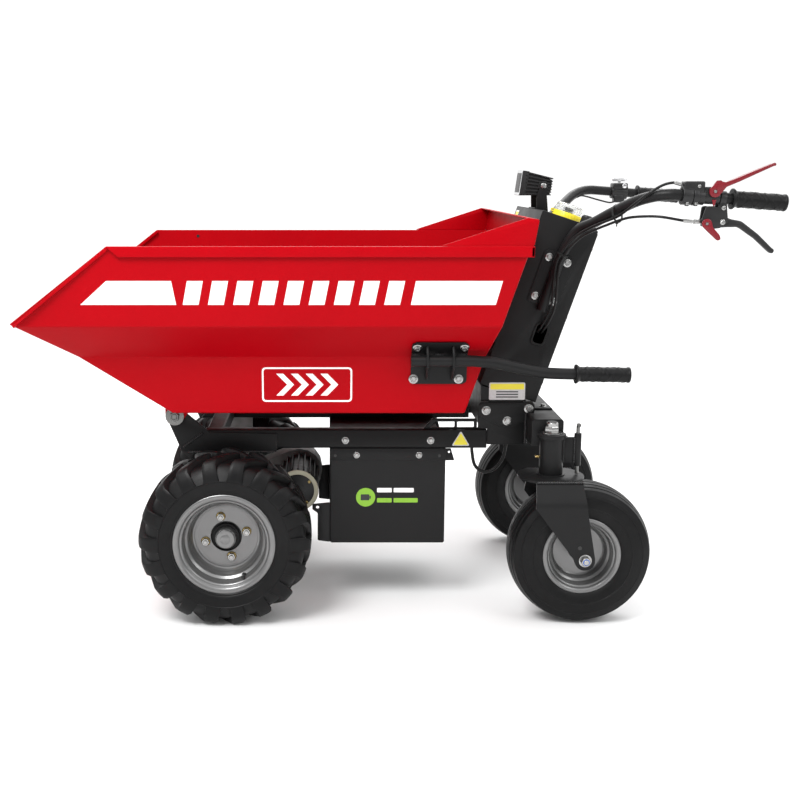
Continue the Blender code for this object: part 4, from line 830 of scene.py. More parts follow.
def caster_axle(side, name):
    place = facing_out(CASTER_X, side, CASTER_RADIUS)
    face = 0.0883
    bolt = Shape()
    bolt.lathe([(0, -face - 0.001), (0.006, -face - 0.001), (0.006, face + 0.0155), (0.0052, face + 0.0165),
                (0, face + 0.0165)], place, 24)
    bolt.lathe([(0, -face), (0.0115, -face), (0.0115, -face - 0.0066), (0.0102, -face - 0.0082),
                (0, -face - 0.0082)], place, 6)
    bolt.lathe([(0.006, face), (0.0148, face), (0.0152, face + 0.0006), (0.0148, face + 0.002),
                (0.006, face + 0.002)], place, 32)
    bolt.lathe([(0.006, face + 0.002), (0.0108, face + 0.002), (0.0116, face + 0.0036),
        (0.0116, face + 0.0088), (0.0104, face + 0.0104), (0.006, face + 0.0104)], place, 6)
    bolt.lathe([(0.0068, face + 0.0098), (0.0098, face + 0.0098), (0.0098, face + 0.0124),
                (0.009, face + 0.0134), (0.0076, face + 0.0136), (0.0068, face + 0.013)], place, 32)
    for reach in (1, -1):
        bolt.lathe([(0.0062, reach * 0.0504), (0.011, reach * 0.0504), (0.011, reach * 0.0815),
                    (0.0062, reach * 0.0815)], place, 24)
    stand_for(bolt.done(f"axle_bolt_{name}", ZINC), f"caster_axle_{name}")
    ring = Shape().lathe([(0.0058, face + 0.011), (0.0078, face + 0.011), (0.0078, face + 0.0139),
                          (0.0058, face + 0.0139)], place, 28)
    add_on(ring.done(f"nylon_ring_{name}", BLUE), f"caster_axle_{name}")


def lock_pin(side, name):
    x, y, top = PIN_X, side * WHEEL_Y, 0.468
    route = [(x, y, 0.3526), (x, y, 0.38), (x, y, 0.42), (x, y, top - 0.01), (x, y, top - 0.004),
             (x, y + side * 0.002, top), (x - 0.001, y + side * 0.007, top + 0.0028),
             (x - 0.0025, y + side * 0.018, top + 0.0045), (x - 0.004, y + side * 0.03, top + 0.006)]
    pin = Shape().tube(smooth_route(route, 5), 0.0044, 20)
    stand_for(pin.done(f"bent_lock_pin_{name}", DARK_ZINC), f"swivel_lock_pin_{name}")


# ---------------------------------------------------------------- chassis

def crossmember():
    """Folded channel with its end plates, swivel barrels and lock-pin sleeves."""
    wall, bend = 0.005, 0.008
    shape = Shape()
    outer = [(CROSS_FRONT, CROSS_BOTTOM), (CROSS_FRONT, CROSS_TOP), (CROSS_REAR, CROSS_TOP),
             (CROSS_REAR, CROSS_BOTTOM)]
    inner = [(CROSS_REAR - wall, CROSS_BOTTOM), (CROSS_REAR - wall, CROSS_TOP - wall),
             (CROSS_FRONT + wall, CROSS_TOP - wall), (CROSS_FRONT + wall, CROSS_BOTTOM)]
    section = filleted(outer, bend, 5, closed=False) + filleted(inner, bend - wall, 4, closed=False)
    shape.plate(section, -CROSS_HALF, CROSS_HALF, 0.0006)
    welds = Shape()
    for side, side_name in SIDES:
        centre = side * WHEEL_Y
        cap = filleted(outer, bend, 5, closed=False)
        shape.side_plate(side, cap, CROSS_HALF - 0.004, CROSS_HALF + 0.004, 0.0006)
        barrel = Matrix.Translation((SWIVEL_X, centre, 0))
        shape.lathe(filleted([(0.012, 0.3538), (0.0275, 0.3538), (0.0275, 0.438), (0.033, 0.4385),
                              (0.033, 0.449), (0.012, 0.449)], 0.0012, 2), barrel, 64)
        sleeve = Matrix.Translation((PIN_X, centre, 0))
        shape.lathe(rounded_rect(0.0055, 0.372, 0.0085, 0.449, 0.0005, 2), sleeve, 32)
        shape.side_box(side, (SWIVEL_X + 0.024, SWIVEL_X + 0.055), (WHEEL_Y - 0.004, WHEEL_Y + 0.004),
                       (0.378, 0.44), 0.001)
        for edge in (-1, 1):
            y = centre + edge * 0.0052
            welds.weld((SWIVEL_X + 0.0272, y, 0.38), (SWIVEL_X + 0.0272, y, 0.438))
            welds.weld((SWIVEL_X + 0.0525, y, 0.38), (SWIVEL_X + 0.0525, y, 0.438))
        welds.weld((SWIVEL_X - 0.014, centre - side * 0.0245, 0.436),
            (SWIVEL_X - 0.014, centre - side * 0.0245, 0.416))
        welds.weld((CROSS_FRONT - 0.001, side * 0.1965, 0.4755), (CROSS_FRONT - 0.001, side * 0.1965, 0.402),
                   radius=0.003)
        zerk = Matrix.Translation((SWIVEL_X - 0.0265, centre - side * 0.006, 0.392)) @ Matrix.Rotation(
            math.radians(-90), 4, "Y")
        grease = Shape().lathe([(0, 0), (0.0042, 0), (0.0042, 0.003), (0.0026, 0.0036), (0.0026, 0.006),
                                (0.0033, 0.0068), (0.002, 0.0095), (0, 0.0098)], zerk, 16)
        add_on(grease.done(f"grease_nipple_{side_name}", YELLOW_ZINC), "caster_crossmember")
    stand_for(shape.done("folded_crossmember", FRAME_BLACK, 35), "caster_crossmember")
    add_on(welds.done("barrel_welds", WELD_BLACK, 60), "caster_crossmember")
    pads, bolts = Shape(), Shape()
    for side, _ in SIDES:
        pads.side_box(side, (0.355, 0.402), (0.12, 0.164), (CROSS_TOP - 0.001, CROSS_TOP + 0.005), 0.002)
        bolts.bolt((0.383, side * 0.142, CROSS_TOP + 0.005), (0, 0, 1), 0.0062)
    add_on(pads.done("crossmember_pads", FRAME_BLACK), "caster_crossmember")
    add_on(bolts.done("crossmember_bolts", ZINC), "caster_crossmember")


def rails():
    slope = 0.051
    for side, name in SIDES:
        shape, weld, bolts = Shape(), Shape(), Shape()
        outline = filleted([(RAIL_FRONT, RAIL_BOTTOM), (RAIL_REAR, RAIL_BOTTOM), (RAIL_REAR, RAIL_TOP),
                            (RAIL_FRONT + slope, RAIL_TOP)], 0.002, 2)
        shape.side_plate(side, outline, RAIL_INNER_Y, RAIL_OUTER_Y, 0.003)
        ear = (arc(HINGE_X, HINGE_Z, 0.022, 40, 190, 20)
               + [(RAIL_FRONT - 0.006, RAIL_BOTTOM - 0.008), (-0.27, RAIL_BOTTOM - 0.008),
                  (-0.27, RAIL_TOP - 0.008), (-0.43, RAIL_TOP - 0.004)])
        shape.side_plate(side, ear, RAIL_OUTER_Y - 0.0005, RAIL_OUTER_Y + 0.0055, 0.0008,
                         [circle(HINGE_X, HINGE_Z, 0.0085)])
        ledge = filleted([(0.0845, RAIL_TOP - 0.001), (0.108, 0.46), (0.216, 0.46),
            (0.216, RAIL_TOP - 0.001)], 0.003, 3)
        windows = [filleted([(0.1, 0.4385), (0.1135, 0.453), (0.162, 0.453), (0.162, 0.4385)], 0.002, 2),
                   filleted([(0.168, 0.4385), (0.168, 0.453), (0.209, 0.453), (0.209, 0.4385)], 0.002, 2)]
        shape.side_plate(side, ledge, 0.18, 0.188, 0.0007, windows)
        out = side * (RAIL_OUTER_Y + 0.0055)
        weld.weld((RAIL_FRONT + 0.008, out, RAIL_BOTTOM - 0.0075), (-0.275, out, RAIL_BOTTOM - 0.0075),
            radius=0.002)
        weld.weld((-0.2705, side * RAIL_OUTER_Y, RAIL_BOTTOM - 0.002), (-0.2705, side * RAIL_OUTER_Y,
            RAIL_TOP - 0.01))
        weld.weld((RAIL_FRONT - 0.002, side * (RAIL_OUTER_Y + 0.0052), RAIL_BOTTOM + 0.004),
            (RAIL_FRONT + slope - 0.006, side * (RAIL_OUTER_Y + 0.0052), RAIL_TOP - 0.006), radius=0.003)
        for x in (-0.1033, 0.1033):
            bolts.bolt((x, side * RAIL_OUTER_Y, 0.409), (0, side, 0), 0.0062)
        stand_for(shape.done(f"welded_rail_{name}", FRAME_BLACK, 35), f"frame_rail_{name}")
        add_on(weld.done(f"rail_welds_{name}", WELD_BLACK, 60), f"frame_rail_{name}")
        add_on(bolts.done(f"rail_bolts_{name}", ZINC), f"frame_rail_{name}")
        pin = Shape()
        spot = facing_out(HINGE_X, side, HINGE_Z, 0.0)
        pin.lathe([(0, 0.1899), (0.007, 0.1899), (0.007, 0.224), (0.006, 0.2252), (0, 0.2252)], spot, 28)
        pin.lathe([(0, 0.19), (0.012, 0.19), (0.012, 0.1987), (0, 0.1987)], spot, 6)
        pin.lathe([(0, 0.2149), (0.0218, 0.2149), (0.0224, 0.2156), (0.022, 0.2172), (0.016, 0.2178),
                   (0, 0.2178)], spot, 40)
        pin.lathe([(0, 0.2172), (0.0115, 0.2172), (0.0125, 0.2185), (0.0125, 0.2238), (0.0112, 0.2254),
                   (0.0085, 0.2256), (0.0085, 0.224), (0, 0.224)], spot, 6, 0.4)
        stand_for(pin.done(f"pivot_bolt_{name}", DARK_ZINC), f"hinge_pin_{name}")


def gussets():
    for side, name in SIDES:
        shape, bolts, weld = Shape(), Shape(), Shape()
        back = filleted([(0.2175, RAIL_TOP + 0.002), (RAIL_REAR + 0.0003, RAIL_TOP + 0.002),
                         (RAIL_REAR + 0.0003, 0.398), (CROSS_FRONT - 0.0003, 0.398),
                         (CROSS_FRONT - 0.0003, CROSS_TOP + 0.001), (0.3535, CROSS_TOP + 0.001),
                         (0.3535, 0.496), (0.348, 0.502), (0.224, 0.502), (0.2175, 0.496)], 0.003, 3)
        shape.side_plate(side, back, GUSSET_INNER, GUSSET_OUTER - 0.002, 0.0007)
        face = filleted([(0.219, 0.47), (0.27, 0.444), (0.305, 0.444), (0.352, 0.47),
                         (0.352, 0.496), (0.347, 0.501), (0.224, 0.501), (0.219, 0.496)], 0.006, 4)
        shape.side_plate(side, face, GUSSET_OUTER - 0.0025, GUSSET_OUTER + 0.0015, 0.0008)
        out = side * (GUSSET_OUTER + 0.0015)
        for x, z in ((0.2363, 0.4825), (0.3385, 0.487), (0.2875, 0.457)):
            bolts.bolt((x, out, z), (0, side, 0), 0.0078, 1.42, 0.0062)
        weld.weld((0.224, side * 0.1935, 0.503), (0.242, side * 0.1935, 0.503), radius=0.0026)
        weld.weld((0.325, side * 0.1935, 0.503), (0.348, side * 0.1935, 0.503), radius=0.0026)
        weld.weld((CROSS_FRONT - 0.002, side * 0.1968, 0.402), (CROSS_FRONT - 0.002, side * 0.1968, 0.47),
            radius=0.0026)
        stand_for(shape.done(f"gusset_{name}", FRAME_BLACK, 35), f"gusset_plate_{name}")
        add_on(bolts.done(f"gusset_bolts_{name}", ZINC), f"gusset_plate_{name}")
        add_on(weld.done(f"gusset_welds_{name}", WELD_BLACK, 60), f"gusset_plate_{name}")
    dress("column_foot", FRAME_BLACK, 0.001)
    dress("front_crossmember", FRAME_BLACK, 0.001)


def battery_box():
    shape = Shape()
    wall, top = 0.0025, RAIL_BOTTOM - 0.0006
    outline = rounded_rect(-BOX_HALF_X, -BOX_HALF_Y, BOX_HALF_X, BOX_HALF_Y, 0.004, 4)
    inside = rounded_rect(-BOX_HALF_X + wall, -BOX_HALF_Y + wall, BOX_HALF_X - wall, BOX_HALF_Y - wall, 0.002,
        4)
    rings = [
        shape.ring([(x * 0.985, y * 0.99, BOX_BOTTOM + 0.0002) for x, y in outline]),
        shape.ring([(x, y, BOX_BOTTOM + 0.0035) for x, y in outline]),
        shape.ring([(x, y, top) for x, y in outline]),
        shape.ring([(x, y, top) for x, y in inside]),
        shape.ring([(x, y, BOX_BOTTOM + wall) for x, y in inside]),
    ]
    shape.solid(rings)
    for side, _ in SIDES:
        bracket = filleted([(-BOX_HALF_X - 0.043, 0.248), (-BOX_HALF_X - 0.043, 0.235),
                            (-BOX_HALF_X - 0.03, 0.226), (-BOX_HALF_X - 0.03, 0.156),
                            (-BOX_HALF_X + 0.001, 0.152), (-BOX_HALF_X + 0.001, 0.2525)], 0.004, 3)
        shape.side_plate(side, bracket, 0.19, 0.196, 0.0008,
                         [circle(-BOX_HALF_X - 0.03, 0.24, 0.004, 20)])
        seam_z = top - 0.03
        shape.side_box(side, (-BOX_HALF_X, BOX_HALF_X), (BOX_HALF_Y - 0.0002, BOX_HALF_Y + 0.0012),
                       (seam_z, top), 0.0006, 2)
        tab = filleted([(BOX_HALF_X - 0.002, 0.358), (BOX_HALF_X + 0.022, 0.358), (BOX_HALF_X + 0.013, 0.388),
                        (BOX_HALF_X - 0.002, 0.388)], 0.002, 2)
        shape.side_plate(side, tab, 0.19, 0.194, 0.0007, [circle(BOX_HALF_X + 0.0085, 0.379, 0.0028, 16)])
    stand_for(shape.done("folded_battery_box", COLUMN_BLACK, 35), "battery_box")
    bolts, holes = Shape(), Shape()
    for side, _ in SIDES:
        out = side * (BOX_HALF_Y + 0.0012)
        for x in (-0.0757, 0.0757):
            bolts.bolt((x, out, 0.3728), (0, side, 0), 0.0058, 1.35, 0.005)
        # Flat black discs on the box sides: painted shade standing in for open spare holes.
        for x in (-0.1275, 0.125):
            holes.lathe([(0, 0), (0.0036, 0), (0.0034, 0.0003), (0, 0.0003)],
                        facing_out(x, side, 0.3715, abs(out)), 20)
    add_on(bolts.done("box_bolts", ZINC), "battery_box")
    add_on(holes.done("box_spare_hole_shade", BLACK_PRINT_AND_HOLE_SHADE), "battery_box")
    dress("battery_box_lid", FRAME_BLACK, 0.0008)
    for _, name in SIDES:
        dress(f"battery_{name}", BATTERY, 0.001)


def drive_unit():
    motor_x, motor_z, radius, end = -0.2205, 0.27, 0.0525, -0.15
    place = Matrix.Translation((motor_x, 0.0497, motor_z)) @ Matrix.Rotation(math.pi / 2, 4, "X")
    length = 0.0497 - end
    shape = Shape()
    shape.lathe(filleted([(0, 0), (radius - 0.0075, 0), (radius - 0.0075, length - 0.02),
        (radius - 0.004, length - 0.018), (radius - 0.004, length - 0.004), (radius - 0.012, length - 0.001),
        (0.018, length - 0.001), (0.018, length), (0, length)], 0.001, 2, closed=False), place, 72)
    for index in range(20):
        shape.box((radius - 0.009, -0.0013, 0.006), (radius - 0.0004, 0.0013, length - 0.022), 0.0006, 1,
                  spun(place, index, 20))
    stand_for(shape.done("finned_motor", PLASTIC, 35), "drive_motor")
    ring = Shape().lathe(rounded_rect(radius - 0.0115, length - 0.005, radius - 0.0005, length, 0.0012, 2),
        place, 72)
    add_on(ring.done("motor_end_ring", CREAM), "drive_motor")
    screws = Shape()
    for index in range(4):
        angle = math.radians(38 + 90 * index)
        spot = place @ Matrix.Translation((0.037 * math.cos(angle), 0.037 * math.sin(angle), length - 0.001))
        screws.lathe([(0, 0), (0.004, 0), (0.004, 0.0022), (0.003, 0.0032), (0, 0.0032)], spot, 6)
    add_on(screws.done("motor_screws", YELLOW_ZINC), "drive_motor")
    dress("transaxle", CAST, 0.0015)
    case = Shape()
    for index, (x, z) in enumerate(arc(DRIVE_X, DRIVE_RADIUS, 0.05, 130, 280, 4) + arc(motor_x, motor_z,
            0.052, -50, 100, 4)):
        case.bolt((x, 0.12, z), (0, 1, 0), 0.0048)
    add_on(case.done("gearbox_bolts", ZINC), "transaxle")


# ---------------------------------------------------------------- tub

def tub_rear_x(z):
    return TUB_REAR_X + (z - TUB_Z[0]) / (TUB_Z[3] - TUB_Z[0]) * (TUB_REAR_TOP_X - TUB_REAR_X)


def tub_half_width(z):
    """Half width of the tub's outer face at height z."""
    for low, high, start, end in zip(TUB_Z, TUB_Z[1:], TUB_Y, TUB_Y[1:]):
        if z <= high:
            return start + (z - low) / (high - low) * (end - start)
    return TUB_Y[-1]


def tub():
    levels = []
    for z, half in zip(TUB_Z, TUB_Y):
        share = (z - TUB_Z[0]) / (TUB_Z[2] - TUB_Z[0])
        front = TUB_FRONT_X + share * (TUB_LIP_X - TUB_FRONT_X) if z < TUB_Z[3] else TUB_MOUTH_X
        levels.append((z, half, front))
    points, faces = [], [(3, 2, 1, 0)]
    for z, half, front in levels:
        rear = tub_rear_x(z)
        points += [(front, -half, z), (rear, -half, z), (rear, half, z), (front, half, z)]
    for level in range(3):
        base = 4 * level
        for i in range(3 if level == 2 else 4):
            j = (i + 1) % 4
            faces.append((base + i, base + j, base + 4 + j, base + 4 + i))
    mesh = bpy.data.meshes.new("folded_tub")
    mesh.from_pydata(points, [], faces)
    shell = bpy.data.objects.new("tub_surface", mesh)
    bpy.context.scene.collection.objects.link(shell)
    bend = shell.modifiers.new("Bends", "BEVEL")
    bend.width, bend.segments, bend.limit_method = 0.0045, 4, "ANGLE"
    bend.angle_limit = math.radians(5)
    skin = shell.modifiers.new("Sheet", "SOLIDIFY")
    skin.thickness, skin.offset, skin.use_even_offset = TUB_SHEET, -1, True
    shape = Shape().take(shell)
    top, drop, out = TUB_Z[3], 0.0225, TUB_Y[3] + 0.007
    sheet = 0.003
    for side, _ in SIDES:
        lip = [(TUB_Y[3] - 0.003, top - 0.002), (TUB_Y[3] - 0.003, top + 0.001), (out, top + 0.001),
               (out, top - drop), (out - sheet, top - drop), (out - sheet, top - 0.002)]
        lip = filleted(lip, 0.0025, 3)
        rings = []
        rear = TUB_REAR_TOP_X + 0.005
        for x, cut in ((TUB_MOUTH_X + 0.002, 1.0), (rear, 0.0)):
            rings.append(shape.ring([(x + cut * max(0.0, (top - z)) * 1.15, side * y, z) for y, z in lip]))
        shape.solid(rings)
        shape.side_box(side, (rear - 0.003, rear + 0.0004), (TUB_Y[3] - 0.001, out),
            (top - drop, top + 0.001), 0.0008, 2)
        mouth = [(TUB_MOUTH_X + 0.002, top + 0.001), (TUB_LIP_X + 0.0005, TUB_Z[2] + 0.003),
                 (TUB_LIP_X + 0.003, TUB_Z[2] - 0.001), (TUB_MOUTH_X + 0.006, top - 0.006)]
        shape.side_plate(side, mouth, TUB_Y[2] - 0.006, TUB_Y[3] + 0.0045, 0.0006)
        lug = ([(-0.535, 0.5155), (-0.535, HINGE_Z)] + arc(HINGE_X, HINGE_Z, 0.0225, 180, 340, 14)
               + [(-0.468, TUB_Z[0] + 0.0005), (TUB_FRONT_X, TUB_Z[0] + 0.0005)])
        shape.side_plate(side, lug, 0.2085, 0.2145, 0.0007, [circle(HINGE_X, HINGE_Z, 0.008)])
    shape.box((TUB_REAR_TOP_X - 0.002, -out, top - drop), (TUB_REAR_TOP_X + 0.0055, out, top + 0.001), 0.0018)
    shape.tube([(TUB_LIP_X + 0.0015, -TUB_Y[2] + 0.001, TUB_Z[2]), (TUB_LIP_X + 0.0015, TUB_Y[2] - 0.001,
        TUB_Z[2])], 0.0026, 16)
    stand_for(shape.done("folded_tub", RED_PAINT, 30), "tub_shell")

    base = top + 0.0013
    guard = Shape()
    section = filleted([(0.301, base), (0.304, base), (0.3145, GUARD_TOP_Z - 0.004), (0.2895, GUARD_TOP_Z),
                        (0.289, GUARD_TOP_Z - 0.003), (0.3105, GUARD_TOP_Z - 0.0065)], 0.0015, 2)
    guard.plate(section, -0.3935, 0.3935, 0.0005)
    beads = Shape()
    for side, _ in SIDES:
        triangle = filleted([(0.1, base), (0.3038, base), (0.3142, GUARD_TOP_Z - 0.0045),
                             (0.2892, GUARD_TOP_Z - 0.0002)], 0.0015, 2)
        guard.side_plate(side, triangle, 0.3932, 0.3962, 0.0006)
        beads.weld((0.115, side * 0.3972, base), (0.301, side * 0.3972, base), radius=0.0015)
        beads.weld((0.3045, side * 0.3925, base + 0.003), (0.313, side * 0.3925, GUARD_TOP_Z - 0.008),
            radius=0.0018)
        beads.weld((-0.5, side * 0.215, TUB_Z[0] - 0.0005), (-0.472, side * 0.215, TUB_Z[0] - 0.0005),
            radius=0.0016)
    stand_for(guard.done("folded_spill_guard", RED_PAINT, 30), "spill_guard")
    add_on(beads.done("tub_welds", RED_PAINT, 60), "tub_shell")


def on_wall(x, z, side, lift=0.0004):
    """A point just off the tub's outer side wall."""
    return Vector((x, side * (tub_half_width(z) + lift), z))


def film(name, outlines, side, material, node, surface, thickness=0.00025):
    """Thin film laid on a surface: printed film, or a black disc of painted shade where a hole is; each
    outline is an (X, Z) loop.
    """
    shape = Shape()
    for outline in outlines:
        low = shape.ring([surface(x, z, side, 0.0001) for x, z in outline])
        high = shape.ring([surface(x, z, side, 0.0001 + thickness) for x, z in outline])
        shape.solid([low, high])
    add_on(shape.done(name, material), node)


def band(outer, inner):
    """Quads that fill the strip between two loops with the same number of points."""
    count = len(outer)
    return [[outer[i], outer[(i + 1) % count], inner[(i + 1) % count], inner[i]] for i in range(count)]


def tub_decals():
    z0, z1 = 0.7583, 0.8112
    for side, name in SIDES:
        stripes = [
            [(-0.6924, z0), (-0.4806, z0), (-0.4904, z1), (-0.6332, z1)],
            [(0.0378, z0), (0.2253, z0), (0.2393, z1), (0.0481, z1)],
        ]
        for index in range(9):
            x = -0.466 + 0.0556 * index
            stripes.append([(x, z0), (x + 0.035, z0), (x + 0.0455, z1), (x + 0.0105, z1)])
        film(f"side_stripe_{name}", stripes, side, WHITE_FILM, "tub_shell", on_wall)
        left, right, low, high = -0.2975, -0.0895, 0.524, 0.6058
        badge = band(rounded_rect(left, low, right, high, 0.01), rounded_rect(left + 0.0038, low + 0.0038,
            right - 0.0038, high - 0.0038, 0.007))
        middle, arm = (low + high) / 2, 0.025
        for index in range(4):
            x = left + 0.033 + 0.034 * index
            badge.append([(x, high - 0.015), (x + 0.016, high - 0.015), (x + 0.016 + arm, middle),
                (x + arm, middle)])
            badge.append([(x + arm, middle), (x + 0.016 + arm, middle), (x + 0.016, low + 0.015),
                (x, low + 0.015)])
        film(f"chevron_badge_{name}", badge, side, WHITE_FILM, "tub_shell", on_wall)
        # Flat black disc on the inner face of the tub wall: painted shade standing in for the drain hole.
        film(f"drain_hole_shade_{name}", [circle(-0.5132, 0.87, 0.0042, 16)], side, BLACK_PRINT_AND_HOLE_SHADE,
            "tub_shell", lambda x, z, sign,
            lift: Vector((x, sign * (tub_half_width(z) - TUB_SHEET - 0.0006 - lift), z)))


# ---------------------------------------------------------------- tipping handle and grips

def grip(name, start, direction, bar, radius, flange, length, node):
    """Moulded rubber grip with an inner flange, zigzag ridges and a thicker end."""
    place = along(start, Vector(start) + Vector(direction))
    profile = [(bar + 0.0004, 0), (flange - 0.0006, 0), (flange, 0.0008), (flange, 0.0036),
        (flange - 0.0008, 0.0046), (radius * 1.02, 0.008), (radius * 0.93, 0.0105)]
    rows = 110
    shape = Shape()
    sides = 72
    rings = [shape.ring([place @ Vector((r * math.cos(a), r * math.sin(a), h))
                         for a in (2 * math.pi * k / sides for k in range(sides))]) for r, h in profile]
    first, last = 0.012, length - 0.0085
    for row in range(rows + 1):
        h = first + (last - first) * row / rows
        ring = []
        for k in range(sides):
            a = 2 * math.pi * k / sides
            fade = min(1.0, (h - first) / 0.004, (last - h) / 0.004)
            lift = 0.0
            for lane in range(3):
                phase = (a / (2 * math.pi) * 3 + lane / 3) % 1.0
                wave = abs(((h / 0.046 + lane * 0.37) % 1.0) * 2 - 1)
                near = min(abs(phase - wave), 1 - abs(phase - wave)) * radius * 2.0
                lift = max(lift, max(0.0, 1 - (near / 0.0013) ** 2))
            size = radius * 0.94 + 0.0011 * fade * lift
            ring.append(place @ Vector((size * math.cos(a), size * math.sin(a), h)))
        rings.append(shape.ring(ring))
    for r, h in [(radius * 0.93, length - 0.0075), (radius, length - 0.0062), (radius, length - 0.0022),
                 (radius * 0.93, length - 0.0004), (radius * 0.6, length)]:
        rings.append(shape.ring([place @ Vector((r * math.cos(a), r * math.sin(a), h))
                                 for a in (2 * math.pi * k / sides for k in range(sides))]))
    rings.append(shape.ring([place @ Vector((0, 0, length))]))
    inner = [(bar + 0.0004, length - 0.003), (0, length - 0.003)]
    shape.skin(rings)
    back = [rings[0]]
    for r, h in inner:
        if r:
            back.append(shape.ring([place @ Vector((r * math.cos(a), r * math.sin(a), h))
                                    for a in (2 * math.pi * k / sides for k in range(sides))]))
        else:
            back.append(shape.ring([place @ Vector((0, 0, h))]))
    shape.skin(back)
    stand_for(shape.done(name, GRIP, 50), node)


def tipping_handle():
    """The tub's one handle, bolted to its left wall."""
    side, name = LEFT, "left"
    (x0, x1), (z0, z1) = (0.045, 0.1735), (0.5673, 0.6694)
    knee = TUB_Z[1]
    shape, bolts, weld = Shape(), Shape(), Shape()
    thick = 0.004
    rows = []
    corner = 0.01
    for i in range(25):
        z = z0 + (z1 - z0) * i / 24
        edge = min(z - z0, z1 - z)
        inset = corner - math.sqrt(max(0.0, corner ** 2 - (corner - min(edge, corner)) ** 2))
        y = side * (tub_half_width(z) + 0.0008 + thick / 2)
        rows.append(((x0 + inset, y, z), (x1 - inset, y, z), (0, side, 0)))
    shape.strip(rows, 4, thick)
    for x in (0.08, 0.139):
        rib = filleted([(tub_half_width(0.575) + 0.003, 0.575), (tub_half_width(knee) + 0.003, knee),
                        (tub_half_width(0.662) + 0.003, 0.662), (TIP_BAR_Y + 0.0165, 0.638),
                        (TIP_BAR_Y + 0.0165, 0.612)], 0.003, 3)
        rib = [(min(y, 0.356), z) for y, z in rib]
        turn = Matrix.Translation((x, 0, 0)) @ Matrix.Rotation(side * math.pi / 2, 4, "Z")
        shape.plate(rib, -0.0025, 0.0025, 0.0006, (), turn)
        low = side * (tub_half_width(0.578) + 0.0055)
        weld.weld((x + 0.003, low, 0.578), (x + 0.003, side * (tub_half_width(0.61) + 0.0055), 0.61))
    bar_z, grip_z, end_z = 0.6255, 0.5956, 0.5933
    y = side * TIP_BAR_Y
    route = [(0.0431, y, bar_z), (0.115, y, bar_z), (0.175, y, bar_z), (0.2, y, bar_z - 0.0014),
             (0.235, y, 0.6205), (0.315, y, 0.6035), (0.345, y, 0.5985), (0.375, y, 0.5966),
             (0.4163, y, grip_z), (0.538, y, end_z)]
    shape.tube(smooth_route(route, 8), TIP_BAR_RADIUS, 32)
    for x in (0.056, 0.109, 0.162):
        weld.weld((x - 0.01, side * 0.329, bar_z + 0.0118), (x + 0.01, side * 0.329, bar_z + 0.0118),
                  radius=0.003)
    for x, z in ((0.0575, 0.656), (0.164, 0.656), (0.051, 0.579), (0.155, 0.579)):
        foot = Vector((x, side * (tub_half_width(z) + 0.0048), z))
        tilt = -0.72 if z > knee else 0.0
        bolts.bolt(foot, (0, side, tilt), 0.0074)
    stand_for(shape.done(f"tipping_bar_{name}", FRAME_BLACK, 35), f"tipping_handle_{name}")
    add_on(bolts.done(f"tipping_bolts_{name}", ZINC), f"tipping_handle_{name}")
    add_on(weld.done(f"tipping_welds_{name}", WELD_BLACK, 60), f"tipping_handle_{name}")
    direction = Vector((0.538 - 0.4163, 0, end_z - grip_z)).normalized()
    grip(f"ridged_tipping_grip_{name}", (0.4163, y, grip_z), direction, TIP_BAR_RADIUS, 0.018, 0.022, 0.125,
         f"tipping_grip_{name}")


# ---------------------------------------------------------------- column and handlebars

def column():
    half = COLUMN_DEPTH / 2
    wall = 0.0025
    shape = Shape()
    turn = COLUMN_FRAME
    shape.box((-half, -COLUMN_HALF, 0), (-half + wall, COLUMN_HALF, COLUMN_LENGTH), 0.0009, 2, turn)
    slot = rounded_rect(0.0095, 0.135, 0.0375, 0.183, 0.01, 6)
    side_outline = filleted([(-half, 0), (half, 0), (half, COLUMN_LENGTH - 0.014),
        (half - 0.008, COLUMN_LENGTH), (-half, COLUMN_LENGTH)], 0.003, 3)
    shape.plate(side_outline, -COLUMN_HALF, -COLUMN_HALF + wall, 0.0009, [slot], turn)
    shape.plate(side_outline, COLUMN_HALF - wall, COLUMN_HALF, 0.0009, (), turn)
    shape.box((-half, -COLUMN_HALF + 0.0005, COLUMN_LENGTH - wall), (half - 0.01, COLUMN_HALF - 0.0005,
        COLUMN_LENGTH), 0.0009, 2, turn)
    shape.box((-half, -COLUMN_HALF, 0), (half, COLUMN_HALF, wall), 0.0009, 2, turn)
    stand_for(shape.done("folded_column", COLUMN_BLACK, 35), "column_shell")
    cover = Shape()
    cover.box((half - 0.004, -COLUMN_HALF + 0.003, 0.0035), (half - 0.0012, COLUMN_HALF - 0.003,
        COLUMN_LENGTH - 0.006), 0.001, 2, turn)
    stand_for(cover.done("rear_cover_sheet", COLUMN_BLACK, 35), "column_rear_cover")
    screws = Shape()
    for y in (-0.178, 0.178):
        for z in (0.05, 0.215, 0.385):
            spot = turn @ Matrix.Translation((half - 0.0012, y, z)) @ Matrix.Rotation(math.pi / 2, 4, "Y")
            screws.lathe([(0, 0), (0.006, 0), (0.006, 0.0008), (0.0052, 0.003), (0.0032, 0.0042),
                (0.0016, 0.0042), (0.0012, 0.003), (0, 0.003)], spot, 24)
    add_on(screws.done("cover_screws", ZINC), "column_rear_cover")
    dress("motor_controller", CAST, 0.001)
    grommet = Shape()
    edge = rounded_rect(0.006, 0.1315, 0.041, 0.1865, 0.013, 6)
    hole = rounded_rect(0.011, 0.1365, 0.036, 0.1815, 0.0085, 6)
    grommet.plate(edge, -COLUMN_HALF - 0.0028, -COLUMN_HALF + 0.0035, 0.0012, [hole], turn)
    add_on(grommet.done("cable_grommet", CABLE), "column_shell")


